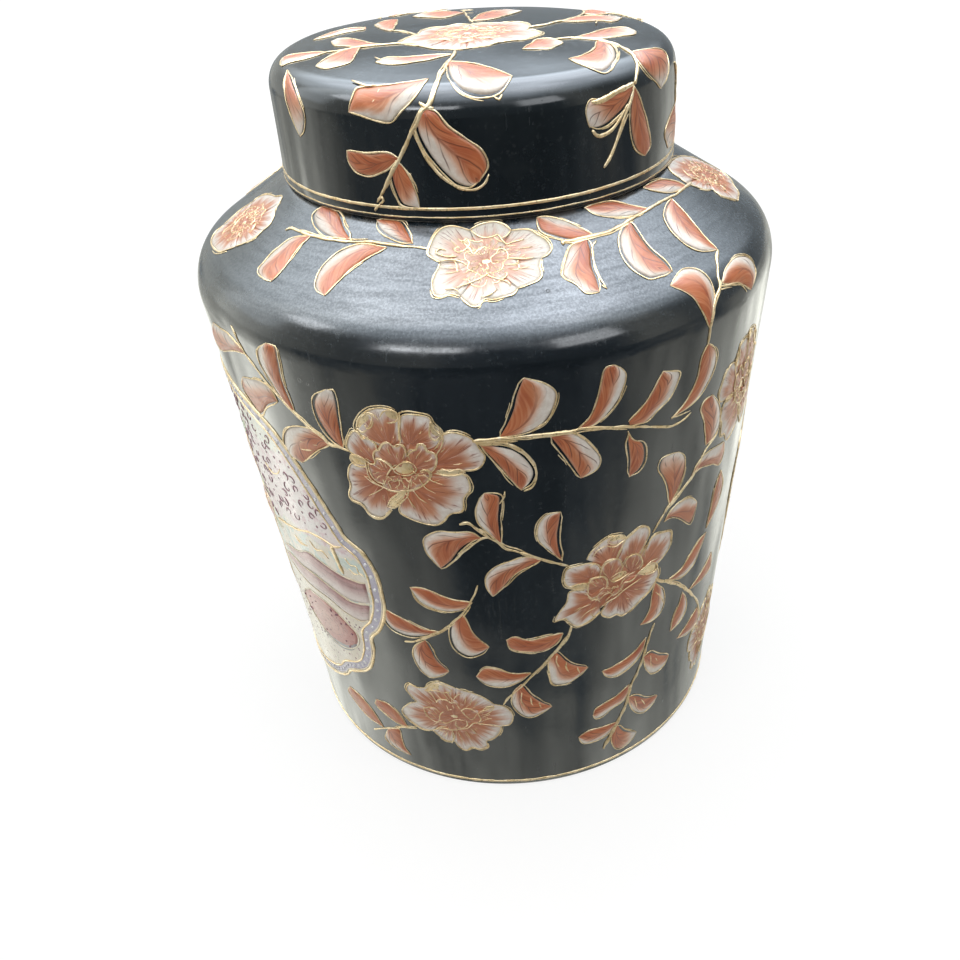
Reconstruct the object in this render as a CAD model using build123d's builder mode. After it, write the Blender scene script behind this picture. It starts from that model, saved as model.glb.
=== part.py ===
from build123d import *
import os

# Ginger jar: a straight-sided, slightly flaring porcelain jar with a sloping
# shoulder, closed by a deep cap lid that drops over a short upright neck.
# Frame: +Z up, origin on the jar's axis in the plane of the foot.
# All sizes in millimetres. Every piece is a section in the XZ plane, written
# as (radius, z) points and revolved about Z.

# --- jar body -----------------------------------------------------------
foot_radius = 91.0             # outside of the wall, carried down to the foot plane
shoulder_corner_radius = 98.3  # where wall and shoulder slope would meet if sharp
shoulder_corner_z = 197.9
seat_radius = 62.6             # outer edge of the flat seat the lid stands on
seat_z = 218.6
neck_outer_radius = 55.2
neck_inner_radius = 50.4
neck_height = 20.0             # above the seat
wall = 5.2                     # thickness of wall and shoulder
floor_z = 10.0                 # inside floor
recess_radius = 80.5           # recess under the base, at the foot plane
recess_depth = 4.2
recess_flare = 1.5             # how much wider the recess is at the foot plane

shoulder_round = 15.0          # outer rounding between wall and shoulder
neck_root_round = 6.0          # inside, where the shoulder turns up into the neck
floor_round = 9.0              # inside, between floor and wall
neck_lip_round = 2.2
seat_round = 1.2               # between seat and neck
foot_outer_round = 1.6
foot_inner_round = 1.0
recess_round = 1.2             # between recess ceiling and its side

# --- lid ----------------------------------------------------------------
lid_radius = 63.2              # outside of the rim
lid_top_radius = 62.0          # the lid wall leans in very slightly
lid_wall = 4.0                 # thickness, measured along the radius
lid_shoulder_z = 250.4         # where wall and top would meet if sharp
lid_crown_z = 253.5            # highest point of the domed top
lid_roof_z = 246.2             # underside of the lid's top at its edge
lid_roof_crown_z = 248.9       # underside of the lid's top on the axis

lid_top_round = 7.5            # rolled top edge
lid_roof_round = 3.5           # inside, between wall and roof
lid_rim_round = 0.9

# --- fired gold lines ---------------------------------------------------
gilt_proud = 0.12              # how far a line stands off the glaze
gilt_air = 0.02                # air behind a line, so that nothing bites
gilt_bevel = 0.1               # height of the bevel on each edge of a line
foot_line_z = (2.7, 3.8)
lid_band_z = (221.5, 223.0)
lid_edge_line_z = (219.6, 220.2)

os.makedirs("parts", exist_ok=True)


def wall_radius(z):
    """Outside radius of the jar's straight wall at height z."""
    return foot_radius + (shoulder_corner_radius - foot_radius) * z / shoulder_corner_z


def lid_wall_radius(z):
    """Outside radius of the lid's wall at height z."""
    share = (z - seat_z) / (lid_shoulder_z - seat_z)
    return lid_radius + (lid_top_radius - lid_radius) * share


def dome_midpoint(edge, crown_z):
    """Point at half the edge's radius on a spherical dome centred on the axis."""
    edge_radius, edge_z = edge
    rise = crown_z - edge_z
    sphere = (edge_radius**2 + rise**2) / (2 * rise)
    radius = edge_radius / 2
    return (radius, crown_z - sphere + (sphere**2 - radius**2) ** 0.5)


def nearest_vertices(section, points):
    """The section's vertex nearest each (radius, z) point."""
    return [section.vertices().sort_by_distance((x, z, 0))[0] for x, z in points]


def save(part, name):
    """Label a finished piece and write its STEP file."""
    part.label = name
    export_step(part, f"parts/{name}.step")


# --- jar body: one hollow piece ------------------------------------------
# The inner shoulder corner lies one wall thickness in from the jar's wall and
# from the shoulder slope, with the wall taken as upright.
shoulder_run = shoulder_corner_radius - seat_radius
shoulder_rise = seat_z - shoulder_corner_z
shoulder_length = (shoulder_run**2 + shoulder_rise**2) ** 0.5
inner_shoulder_z = shoulder_corner_z - wall * (shoulder_length - shoulder_rise) / shoulder_run
neck_top_z = seat_z + neck_height

# Sharp corners of the section, before rounding.
recess_ceiling = (recess_radius - recess_flare, recess_depth)
foot_inner = (recess_radius, 0)
foot_outer = (foot_radius, 0)
shoulder = (shoulder_corner_radius, shoulder_corner_z)
neck_foot = (neck_outer_radius, seat_z)
lip_outer = (neck_outer_radius, neck_top_z)
lip_inner = (neck_inner_radius, neck_top_z)
neck_root = (neck_inner_radius, seat_z - wall)
inner_shoulder = (wall_radius(inner_shoulder_z) - wall, inner_shoulder_z)
floor_edge = (wall_radius(floor_z) - wall, floor_z)

with BuildPart() as jar_body:
    with BuildSketch(Plane.XZ) as body_section:
        with BuildLine():
            Polyline(
                (0, recess_depth),
                recess_ceiling,
                foot_inner,
                foot_outer,
                shoulder,
                (seat_radius, seat_z),
                neck_foot,
                lip_outer,
                lip_inner,
                neck_root,
                inner_shoulder,
                floor_edge,
                (0, floor_z),
                close=True,
            )
        make_face()
        for radius, *corners in (
            (shoulder_round, shoulder),
            (shoulder_round - wall, inner_shoulder),
            (neck_root_round, neck_root),
            (floor_round, floor_edge),
            (neck_lip_round, lip_outer, lip_inner),
            (seat_round, neck_foot),
            (foot_outer_round, foot_outer),
            (foot_inner_round, foot_inner),
            (recess_round, recess_ceiling),
        ):
            fillet(nearest_vertices(body_section, corners), radius)
    revolve(axis=Axis.Z)
save(jar_body.part, "jar_body")

# --- lid: a deep cap with a gently domed top ------------------------------
# Its rim stands on the jar's seat and its wall hangs loosely around the neck.
rim_outer = (lid_radius, seat_z)
rim_inner = (lid_radius - lid_wall, seat_z)
top_edge = (lid_top_radius, lid_shoulder_z)
roof_edge = (lid_top_radius - lid_wall, lid_roof_z)
crown = (0, lid_crown_z)
roof_crown = (0, lid_roof_crown_z)

with BuildPart() as lid:
    with BuildSketch(Plane.XZ) as lid_section:
        with BuildLine():
            Line(rim_inner, rim_outer)
            Line(rim_outer, top_edge)
            ThreePointArc(top_edge, dome_midpoint(top_edge, lid_crown_z), crown)
            Line(crown, roof_crown)
            ThreePointArc(roof_crown, dome_midpoint(roof_edge, lid_roof_crown_z), roof_edge)
            Line(roof_edge, rim_inner)
        make_face()
        for radius, corner in (
            (lid_top_round, top_edge),
            (lid_roof_round, roof_edge),
            (lid_rim_round, rim_outer),
            (lid_rim_round, rim_inner),
        ):
            fillet(nearest_vertices(lid_section, [corner]), radius)
    revolve(axis=Axis.Z)
save(lid.part, "lid")


# --- gold lines ------------------------------------------------------------
def gold_line(name, surface_radius, z_range):
    """Build and save a thin gold ring around the surface, with bevelled edges."""
    bottom, top = z_range
    with BuildPart() as ring:
        with BuildSketch(Plane.XZ):
            with BuildLine():
                Polyline(
                    (surface_radius(bottom) + gilt_air, bottom),
                    (surface_radius(bottom) + gilt_proud, bottom + gilt_bevel),
                    (surface_radius(top) + gilt_proud, top - gilt_bevel),
                    (surface_radius(top) + gilt_air, top),
                    close=True,
                )
            make_face()
        revolve(axis=Axis.Z)
    save(ring.part, name)


# A narrow line just above the foot, the broad band a little above the lid's
# rim, and the hairline on the lid's lower edge.
gold_line("foot_gold_line", wall_radius, foot_line_z)
gold_line("lid_gold_band", lid_wall_radius, lid_band_z)
gold_line("lid_edge_gold_line", lid_wall_radius, lid_edge_line_z)
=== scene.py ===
import math

import bpy
import numpy as np
from mathutils import Matrix, Vector


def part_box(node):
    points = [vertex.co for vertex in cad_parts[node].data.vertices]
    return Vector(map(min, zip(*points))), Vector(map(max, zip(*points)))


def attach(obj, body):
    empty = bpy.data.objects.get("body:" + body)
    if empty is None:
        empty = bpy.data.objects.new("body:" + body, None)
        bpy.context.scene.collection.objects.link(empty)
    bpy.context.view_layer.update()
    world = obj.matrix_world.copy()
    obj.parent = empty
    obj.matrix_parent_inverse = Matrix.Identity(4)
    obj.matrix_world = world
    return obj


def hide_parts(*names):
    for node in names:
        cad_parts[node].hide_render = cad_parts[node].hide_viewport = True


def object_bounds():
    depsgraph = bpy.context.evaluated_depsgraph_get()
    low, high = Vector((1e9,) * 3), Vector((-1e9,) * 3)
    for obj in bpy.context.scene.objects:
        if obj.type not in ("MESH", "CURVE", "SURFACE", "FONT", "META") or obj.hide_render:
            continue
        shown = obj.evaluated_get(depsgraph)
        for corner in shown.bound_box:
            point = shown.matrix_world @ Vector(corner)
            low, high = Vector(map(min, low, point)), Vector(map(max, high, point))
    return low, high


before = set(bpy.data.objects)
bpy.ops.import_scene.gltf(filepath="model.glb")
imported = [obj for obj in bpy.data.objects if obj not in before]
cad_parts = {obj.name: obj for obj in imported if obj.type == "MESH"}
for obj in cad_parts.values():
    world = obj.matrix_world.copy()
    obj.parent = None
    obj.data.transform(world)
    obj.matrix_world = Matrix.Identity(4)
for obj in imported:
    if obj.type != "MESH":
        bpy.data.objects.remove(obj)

cad_lo, cad_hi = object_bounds()

# ---------------------------------------------------------------------------
# Where things are. Everything below is in millimetres on the CAD's profile;
# MM turns it into metres from the CAD's own box.
# ---------------------------------------------------------------------------
jar_lo, jar_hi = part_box("jar_body")
lid_lo, lid_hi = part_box("lid")
MM = (jar_hi.x - jar_lo.x) / 195.956
SEAT_Z = lid_lo.z / MM
CROWN_Z = lid_hi.z / MM
NECK_Z = jar_hi.z / MM

FOOT_R, CORNER_R, CORNER_Z, SHOULDER_ROUND, SEAT_R = 91.0, 98.3, 197.9, 15.0, 62.6
NECK_R, NECK_IN, WALL, FLOOR_Z = 55.2, 50.4, 5.2, 10.0
RECESS_R, RECESS_D = 80.5, 4.2
LID_R, LID_TOP_R, LID_SHOULDER_Z, LID_ROUND = 63.2, 62.0, 250.4, 7.5
LID_IN, LID_IN_TOP, ROOF_Z, ROOF_CROWN = 59.2, 58.0, 246.2, 248.9


def wall_radius(z):
    return FOOT_R + (CORNER_R - FOOT_R) * z / CORNER_Z


def dome_z(r, edge_r, edge_z, crown_z):
    rise = crown_z - edge_z
    ball = (edge_r**2 + rise**2) / (2 * rise)
    return crown_z - ball + np.sqrt(ball**2 - np.asarray(r, float) ** 2)


def rounded(points, radii, arc_step=0.35):
    """A polyline with its corners rounded to the radii given, as an array."""
    P = [np.array(p, float) for p in points]
    out = [P[0]]
    for k in range(1, len(P) - 1):
        r = radii.get(k, 0)
        if r <= 0:
            out.append(P[k])
            continue
        a = (P[k - 1] - P[k]) / np.linalg.norm(P[k - 1] - P[k])
        b = (P[k + 1] - P[k]) / np.linalg.norm(P[k + 1] - P[k])
        ang = math.acos(max(-1, min(1, float(a @ b))))
        cut = r / math.tan(ang / 2)
        bis = (a + b) / np.linalg.norm(a + b)
        centre = P[k] + bis * r / math.sin(ang / 2)
        s, e = P[k] + a * cut - centre, P[k] + b * cut - centre
        a0, a1 = math.atan2(s[1], s[0]), math.atan2(e[1], e[0])
        while a1 - a0 > math.pi:
            a1 -= 2 * math.pi
        while a1 - a0 < -math.pi:
            a1 += 2 * math.pi
        n = max(4, int(abs(a1 - a0) * r / arc_step))
        for q in np.linspace(a0, a1, n + 1):
            out.append(centre + r * np.array([math.cos(q), math.sin(q)]))
    out.append(P[-1])
    return np.array(out)


def arc_of(P):
    return np.concatenate(
        [[0.0], np.cumsum(np.linalg.norm(np.diff(P, axis=0), axis=1))]
    )


def resampled(P, step):
    s = arc_of(P)
    n = max(2, int(round(s[-1] / step)))
    q = np.linspace(0, s[-1], n + 1)
    return np.stack([np.interp(q, s, P[:, k]) for k in range(P.shape[1])], 1)


class Skin:
    """An outside profile of revolution: distance s along it from the foot or
    the lid's rim, and the angle round the axis, give a point and a normal."""

    def __init__(self, outline):
        self.P = resampled(outline, 0.25)
        self.S = arc_of(self.P)
        t = np.gradient(self.P, self.S, axis=0)
        t /= np.linalg.norm(t, axis=1)[:, None]
        self.N = np.stack([t[:, 1], -t[:, 0]], 1)
        self.length = float(self.S[-1])

    def at(self, th, s, h=0.0):
        r, z = np.interp(s, self.S, self.P[:, 0]), np.interp(s, self.S, self.P[:, 1])
        nr, nz = np.interp(s, self.S, self.N[:, 0]), np.interp(s, self.S, self.N[:, 1])
        d = h + ripple(th, s, self.length)
        r, z = r + nr * d, z + nz * d
        return np.stack([r * np.sin(th), -r * np.cos(th), z], -1)

    def normal(self, th, s):
        nr, nz = np.interp(s, self.S, self.N[:, 0]), np.interp(s, self.S, self.N[:, 1])
        n = np.stack([nr * np.sin(th), -nr * np.cos(th), nz], -1)
        return n / np.linalg.norm(n, axis=-1, keepdims=True)


def ripple(th, s, length):
    """The hand-thrown unevenness of the glazed surface, under 0.2 mm."""
    e = np.clip(np.minimum(s, length - s) / 18.0, 0, 1)
    return e * (
        0.07 * np.sin(2 * th + s * 0.021 + 0.6)
        + 0.05 * np.sin(5 * th - s * 0.057 + 2.1)
        + 0.035 * np.sin(9 * th + s * 0.11 + 4.0)
        + 0.03 * np.sin(s * 0.23 + 3.0 * np.sin(3 * th))
    )


BODY_LINE = rounded(
    [(FOOT_R, 0), (CORNER_R, CORNER_Z), (SEAT_R, SEAT_Z)], {1: SHOULDER_ROUND}
)
_dome = [
    (r, float(dome_z(r, LID_TOP_R, LID_SHOULDER_Z, CROWN_Z)))
    for r in np.linspace(LID_TOP_R, 0, 60)
]
LID_LINE = rounded([(LID_R, SEAT_Z)] + _dome[:1] + [_dome[12]], {1: LID_ROUND})
LID_LINE = np.array([tuple(p) for p in LID_LINE[:-1]] + _dome[12:])
SKIN = {"b": Skin(BODY_LINE), "l": Skin(LID_LINE)}
LT = SKIN["l"].length
DEG = 1.66  # millimetres round the wall per degree, for even steps


def polar(kind, p):
    """Decoration coordinates to (angle, s). The jar's are (degrees, mm up the
    profile); the lid's are mm on the lid unrolled flat from its crown."""
    p = np.asarray(p, float)
    if kind == "b":
        return np.radians(p[..., 0]), p[..., 1]
    return np.arctan2(p[..., 0], -p[..., 1]), LT - np.hypot(p[..., 0], p[..., 1])


def place(kind, p, h=0.0):
    th, s = polar(kind, p)
    return SKIN[kind].at(th, s, h)


def normal(kind, p):
    th, s = polar(kind, p)
    return SKIN[kind].normal(th, s)


# ---------------------------------------------------------------------------
# The painted design, as it lies on the jar: outlines of leaves, stems and
# flowers in the decoration coordinates above.
# ---------------------------------------------------------------------------
LEAVES = [
    ('b01', 'b', [(0,171),(1.5,175.1),(2.6,179.4),(3.3,184),(4.5,188.9)],
     [(0,171),(3.8,171.5),(7,173.6),(9,177.9),(9.7,183.1),(7.9,186.4),(4.5,188.9)], 'B', 'A'),
    ('b02', 'b', [(13.3,170),(15.6,173.1),(17,178.4),(17.6,184.4),(18.3,187.9),(19.7,188.2)],
     [(13.3,170),(16.6,170.7),(19.3,173.9),(21.3,178.5),(22.1,184.1),(21.2,186.6),(19.7,188.2)], 'B', ''),
    ('b03', 'b', [(23.2,168.3),(25.6,171.5),(27.5,175.1),(28.8,178.9),(29.7,181.6)],
     [(23.5,167.2),(26.7,166.5),(29.6,169.2),(32.2,172.1),(33.5,176.6),(33.5,179.1),(29.7,181.6)], 'B', ''),
    ('b04', 'b', [(-3.6,168.7),(-0.6,167.7),(2.1,166),(4.2,162.4),(5.4,157.9),(4.6,154.1),(3.1,151.9)],
     [(-3.6,168.7),(-1.9,164.8),(-0,160),(1.6,155.5),(3.1,151.9)], 'A', 'A'),
    ('b05', 'b', [(8.7,169.2),(11.2,169.7),(13.9,167.4),(16.1,163.1),(17.8,158.1),(17.2,154.8),(14.2,152.8)],
     [(8.7,169.2),(10.3,164.9),(11.9,160.2),(14.2,152.8)], 'A', 'B'),
    ('b06', 'b', [(23.1,165.3),(23.5,160.2),(24,154.6),(24,148.3)],
     [(23.1,165.3),(24.3,161.5),(26.1,159.8),(26.9,156.5),(26.9,152.5),(25.9,149.8),(24,148.3)], 'N', 'AB'),
    ('b07', 'b', [(40.5,184.2),(39.2,180.5),(38.8,174.2),(37.1,169.3),(35.1,166.2),(32.7,164.2)],
     [(40.5,184.2),(43.4,179.4),(43.5,174.1),(41.9,169.8),(39.6,166.6),(37,165.2),(32.7,164.2)], 'B', ''),
    ('b08', 'b', [(34.8,129.7),(34.3,136.2),(32.8,142.1),(31.3,146.7),(31.8,150.1),(33.5,150.3),(35.7,149.9)],
     [(34.8,129.7),(36.7,133.9),(37.8,138.3),(38.3,143),(37.6,147),(35.7,149.9)], 'T', 'A'),
    ('b09', 'b', [(33.9,123.3),(35.6,126.6),(38.2,127.8),(41.4,127.1),(44.4,122.7)],
     [(33.9,123.3),(35.8,123.9),(38.8,120.9),(42.8,115.1),(43.9,118),(44.4,122.7)], 'A', 'B'),
    ('b10', 'b', [(40.8,136.3),(42.6,140.3),(45.2,141.7),(48.7,141.4),(53,139.6)],
     [(40.8,136.3),(43.6,137.5),(48,135.2),(52.2,131.4),(53.6,134.2),(53,139.6)], 'A', ''),
    ('b11', 'b', [(44.7,145.6),(43.5,152.2),(42,158.5),(41,161.7),(42,164.2),(44.2,164.4)],
     [(44.7,145.6),(47.4,146.8),(49,149.3),(48.5,155),(46.9,159.8),(44.2,164.4)], 'B', ''),
    ('b13', 'b', [(54,127.2),(52.1,121.3),(51.7,113),(50.6,104.9)],
     [(54,127.2),(56.4,118.8),(55.2,111.2),(50.6,104.9)], 'N', ''),
    ('b14', 'b', [(37.4,93.9),(41.4,94.7),(44.7,98.5),(47.5,101.7),(51,102.7)],
     [(37.4,93.9),(42.2,90.5),(46.4,91.4),(48.8,96.1),(51,102.7)], 'B', ''),
    ('b15', 'b', [(46.6,79.5),(50.5,81.2),(54.3,83.8),(56.9,86.4)],
     [(46.6,79.5),(53.9,77.2),(58.2,77.7),(56.9,86.4)], 'N', ''),
    ('b16', 'b', [(33.2,96.4),(32.7,90),(32.4,84.7),(31.5,81),(29.9,78.4)],
     [(33.2,96.4),(35.7,91.1),(36.8,84.5),(35.9,79.3),(33.5,77.5),(29.9,78.4)], 'B', ''),
    ('b17', 'b', [(43.5,81.5),(42.9,76.5),(41.7,72.5),(41,68.5),(40.6,64)],
     [(43.5,81.5),(46.1,73.4),(45.9,67.7),(43.7,64.9),(40.6,64)], 'B', ''),
    ('b18', 'b', [(53.1,62.1),(50.2,60.3),(47.5,58),(44.2,55.8)],
     [(53.1,62.1),(54.8,52.6),(50.9,51.3),(44.2,55.8)], 'B', ''),
    ('b19', 'b', [(-1.1,131.2),(-3.2,135.9),(-5,139.9),(-5.3,145.4),(-4.5,149.5),(-3.4,151.7)],
     [(-1.1,131.2),(-1.4,136.5),(-1.4,142.4),(-1,147.7),(-1.1,150.4),(-3.4,151.7)], 'A', 'B'),
    ('b20', 'b', [(-4.7,134.3),(-6.9,136.4),(-9.7,136.3),(-12.6,136.4),(-15.8,133.4),(-16,128),(-14.7,124),(-13.5,121.2)],
     [(-4.7,134.3),(-7.5,132.3),(-9.4,129.4),(-11.2,125),(-13.5,121.2)], 'A', 'B'),
    ('b21', 'b', [(6.5,123.2),(3.7,125.3),(0.4,124.2),(-2.8,121.7),(-4.7,117.9),(-4.8,113),(-3.7,109.3)],
     [(6.5,123.2),(3.5,121.1),(0.8,118.1),(-1.3,113.6),(-3.7,109.3)], 'A', ''),
    ('b22', 'b', [(10.5,121.4),(7.9,127),(6,131.3),(5.9,137.4),(7.7,141.2),(10.2,141.6)],
     [(10.5,121.4),(9.7,127.2),(9.5,133),(9.9,137.7),(10.2,141.6)], 'A', 'B'),
    ('b23', 'b', [(-8.1,106.5),(-11.6,107.1),(-14.6,108.9),(-17.6,110.9),(-20.9,110.8)],
     [(-8.1,106.5),(-10.2,103.1),(-13.2,101.7),(-16.6,102.3),(-19.3,104.8),(-20.9,110.8)], 'B', ''),
    ('b24', 'b', [(-10.3,100.7),(-12.8,95.5),(-13.5,88.4),(-12.6,82.4),(-10.1,79.7),(-7.5,81.5),(-5.6,84.6)],
     [(-10.3,100.7),(-9.4,95.5),(-8.4,90.6),(-5.6,84.6)], 'A', 'A'),
    ('b25', 'b', [(-19.8,85.5),(-22.6,81.2),(-23.4,76),(-22.3,68.9),(-20.1,65.5),(-17.3,67.7),(-15.4,70.5)],
     [(-19.8,85.5),(-19,81.6),(-17.9,75.7),(-15.4,70.5)], 'A', 'B'),
    ('b26', 'b', [(-16.4,91.2),(-19.6,91.1),(-22.4,93),(-25.3,95.1),(-28.3,96.9)],
     [(-16.4,91.2),(-19.6,88.1),(-23.8,86.3),(-27.1,87.6),(-28.7,91.2),(-28.3,96.9)], 'B', 'B'),
    ('b27', 'b', [(10.5,87.8),(7.2,87.7),(3.3,86.9),(-0.1,89.2),(-1.8,87.9)],
     [(10.5,87.8),(9.2,83.8),(6.5,80.8),(3.2,80.8),(-0.7,83.2),(-1.8,87.9)], 'N', ''),
    ('b28', 'b', [(8.5,79.5),(9.8,76.8),(11.2,72.9),(13.3,69.6),(16.5,66.6)],
     [(8.5,79.5),(7.3,75.2),(7.4,67),(8.3,61.6),(11.4,60.7),(13.8,62.7),(16.5,66.6)], 'B', 'A'),
    ('b29', 'b', [(3.1,69.6),(-0.9,69.9),(-4.2,72.4),(-7,73.5),(-9.3,69)],
     [(3.1,69.6),(0.1,65.3),(-3.7,63),(-7.2,64.7),(-9.3,69)], 'B', ''),
    ('b30', 'b', [(0.7,64),(2.6,57.9),(5.1,52.5),(7.7,49.1)],
     [(0.7,64),(-1.2,59.9),(-1.5,52.9),(0,47.3),(2.3,44.4),(5.5,46.4),(7.7,49.1)], 'B', 'A'),
    ('b31', 'b', [(-29.9,29.3),(-31.8,36.1),(-34.4,40.1),(-38.4,39.5)],
     [(-29.9,29.3),(-33.8,29.9),(-37,32.6),(-39.3,35.4),(-38.4,39.5)], 'N', ''),
    ('b32', 'b', [(-38.7,21.1),(-41.7,29.7),(-45.1,34.2),(-49.4,35.3)],
     [(-38.7,21.1),(-44.6,21.8),(-48.8,25.8),(-51.1,30.1),(-49.4,35.3)], 'N', ''),
    ('b33', 'b', [(-37.3,21.3),(-39.2,13.2),(-36.8,10.2),(-31.2,9.3)],
     [(-37.3,21.3),(-33.2,25.3),(-32.9,19.5),(-32.7,13.6),(-31.2,9.3)], 'A', ''),
    ('b34', 'b', [(32.1,69.9),(29.1,65.2),(25.5,63),(22.2,61.8),(20.1,61.8)],
     [(32.1,69.9),(31,62.8),(27.7,57.6),(23.5,56.2),(21.3,58.1),(20.1,61.8)], 'B', ''),
    ('b35', 'b', [(31.8,59.1),(34.1,59.1),(37.5,54.2),(41.2,49.8)],
     [(31.8,59.1),(32.8,53),(34.9,46.6),(37.8,45),(40,46),(41.2,49.8)], 'B', 'A'),
    ('b36', 'b', [(28.1,47.3),(24.4,43.6),(21.1,42.3),(18.7,40.6),(18.2,37.3)],
     [(28.1,47.3),(27.2,39.7),(23.5,37.1),(20.7,34.6),(19,34.7),(18.2,37.3)], 'B', ''),
    ('b37', 'b', [(28.4,39.7),(31.1,36.9),(34.4,31.9),(38.7,28.6)],
     [(28.4,39.7),(28.7,34.5),(30.9,27.7),(33.9,23.6),(37.1,24.9),(38.7,28.6)], 'B', 'A'),
    ('b38', 'b', [(25,26.9),(20.9,27.5),(17,28.1),(14.3,26.1)],
     [(25,26.9),(22.5,21.5),(18.7,20.1),(15.9,21),(14.3,26.1)], 'B', ''),
    ('b39', 'b', [(25.4,24.6),(27.5,18.5),(29.9,15.1),(32,12.6)],
     [(25.4,24.6),(23.8,17.6),(25.6,8.9),(27.9,7.1),(30.5,9),(32,12.6)], 'T', 'A'),
    ('b40', 'b', [(-29,163.2),(-31.3,166.4),(-32.9,171.6),(-33.2,176.5),(-31.8,180.7),(-29.7,183)],
     [(-29,163.2),(-29,169.1),(-28.7,175.3),(-28.4,180),(-28.7,183.1),(-29.7,183)], 'T', 'AB'),
    ('b41', 'b', [(-31.7,163.8),(-34.8,167),(-38.6,166.5),(-42.9,163.1),(-44.8,157.5),(-44.3,153.3),(-40.4,152.7)],
     [(-31.7,163.8),(-34.8,160.6),(-37.4,157),(-40.4,152.7)], 'A', ''),
    ('b42', 'b', [(-38.6,170.3),(-41.7,175.2),(-43.7,180.5),(-45.1,185),(-44.5,189.4),(-41.8,192.4)],
     [(-38.6,170.3),(-39.6,176.3),(-40.1,182.3),(-39.7,188.2),(-39.8,192.1),(-41.8,192.4)], 'A', 'B'),
    ('b43', 'b', [(-43,173.1),(-44.6,177),(-47.8,177.5),(-54.3,174.6)],
     [(-43,173.1),(-46.8,169.9),(-51,164.1),(-53.6,166.6),(-55.8,169.8),(-54.3,174.6)], 'A', 'B'),
    ('b44', 'b', [(-49.4,185.3),(-52.3,187.2),(-55.6,188.8),(-62.4,187.7)],
     [(-49.4,185.3),(-54.4,183.7),(-63.6,177.8),(-70,177.5),(-62.4,187.7)], 'A', ''),
    ('s01', 'b', [(-44.9,227.4),(-49.9,224.8),(-52,219.6),(-52.5,214.3),(-52.3,211.3),(-48.7,209.6),(-46.3,210)],
     [(-44.9,227.4),(-46,223.3),(-46,218.4),(-45.7,213.6),(-46.3,210)], 'A', ''),
    ('s02', 'b', [(-22.9,228.2),(-29.5,228.5),(-34,225.1),(-36.2,219.6),(-35.8,214.1),(-34.4,211.5),(-32,210.1)],
     [(-22.9,228.2),(-26.6,224.6),(-29.7,219.2),(-31.3,213.4),(-32,210.1)], 'A', ''),
    ('s03', 'b', [(-32.6,228.9),(-39.4,229.1),(-45.4,231),(-49.2,234.4),(-48.7,237.5)],
     [(-32.6,228.9),(-36.7,232.3),(-40.2,235.8),(-43.2,237.5),(-48.7,237.5)], 'A', 'AB'),
    ('s04', 'b', [(-16.9,230.1),(-22.1,231.6),(-26.4,234.2),(-28.6,237)],
     [(-16.9,230.1),(-19.2,233.9),(-22,237.1),(-25.3,237.5),(-28.6,237)], 'A', 'AB'),
    ('s05', 'b', [(25.3,227.5),(23,230.8),(20,234.2),(16.4,236.4),(13.5,236.7)],
     [(25.3,227.5),(20.5,227.6),(16.5,229.8),(13.7,232.5),(13.5,236.7)], 'A', 'B'),
    ('s06', 'b', [(44.6,229.7),(40.4,232.9),(35.7,236.3),(30.9,237.2),(26.9,237)],
     [(44.6,229.7),(38.5,230),(32.6,231.6),(28.8,234.1),(26.9,237)], 'B', ''),
    ('s07', 'b', [(64.5,228.7),(62.4,232.5),(58.5,235.6),(53.7,236.7),(48.9,236.7)],
     [(64.5,228.7),(59.4,229.9),(55.2,231.3),(51.7,234),(48.9,236.7)], 'B', ''),
    ('s08', 'b', [(23.2,226.8),(18.9,225.6),(16.6,221.8),(14.7,216.9),(16.5,213.3),(17.9,209.8),(20.3,209.3)],
     [(23.2,226.8),(22.5,222.8),(21.2,218.3),(20.8,213.6),(20.3,209.3)], 'A', 'B'),
    ('s09', 'b', [(36.4,228.6),(31.6,225.2),(29.5,220.5),(29.3,214.7),(31.2,209.7),(34.1,209),(36.5,208.7)],
     [(36.4,228.6),(35.8,223.8),(35.6,217.6),(36.4,212.6),(36.5,208.7)], 'A', 'AB'),
    ('s10', 'b', [(53.9,229.2),(47.6,226.4),(45,220.7),(45,215.2),(46.9,211),(50.9,208.2)],
     [(53.9,229.2),(53.4,224),(51.9,217.3),(51.1,212),(50.9,208.2)], 'A', 'A'),
    ('s11', 'b', [(40.2,189),(41.7,194.6),(42.8,200.5),(42,206.1),(38.9,208.1),(34,204.9)],
     [(40.2,189),(38.5,194.9),(37.2,199.6),(35.6,202.6),(34,204.9)], 'A', ''),
    ('s12', 'b', [(54.1,192.1),(57.4,195.5),(57,200.4),(53.2,203),(48.8,202.2),(45.6,199.2)],
     [(54.1,192.1),(51.3,195.6),(48.2,197.4),(45.6,199.2)], 'A', ''),
    ('l01', 'l', [(-26,-11.8),(-31.5,-4.7),(-36.7,3.1),(-40.1,5.5),(-42.5,2.4)],
     [(-26,-11.8),(-32,-11.4),(-37.4,-7),(-40.3,-5.2),(-42.5,2.4)], 'T', ''),
    ('l02', 'l', [(-42.3,-12),(-49.2,-8.8),(-53.8,-8.3),(-56.1,-12)],
     [(-42.3,-12),(-47.4,-16.3),(-52.2,-18.1),(-54.9,-18.9),(-56.1,-12)], 'B', ''),
    ('l03', 'l', [(-32.3,-11.3),(-36.1,-11.8),(-39.5,-16.1),(-42.4,-22.7),(-43.8,-28.4)],
     [(-32.3,-11.3),(-33.3,-20.6),(-34.1,-29),(-37.3,-31.6),(-40.6,-32.1),(-43.8,-28.4)], 'T', ''),
    ('l04', 'l', [(-33.2,21.1),(-38.6,23.7),(-44.4,20.4),(-49.1,11)],
     [(-32.9,17.7),(-37.9,16.6),(-43.4,13.4),(-49.1,11)], 'B', ''),
    ('l05', 'l', [(-23.5,32.6),(-26.8,32.9),(-29.2,29.7),(-30.4,23.3)],
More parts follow.
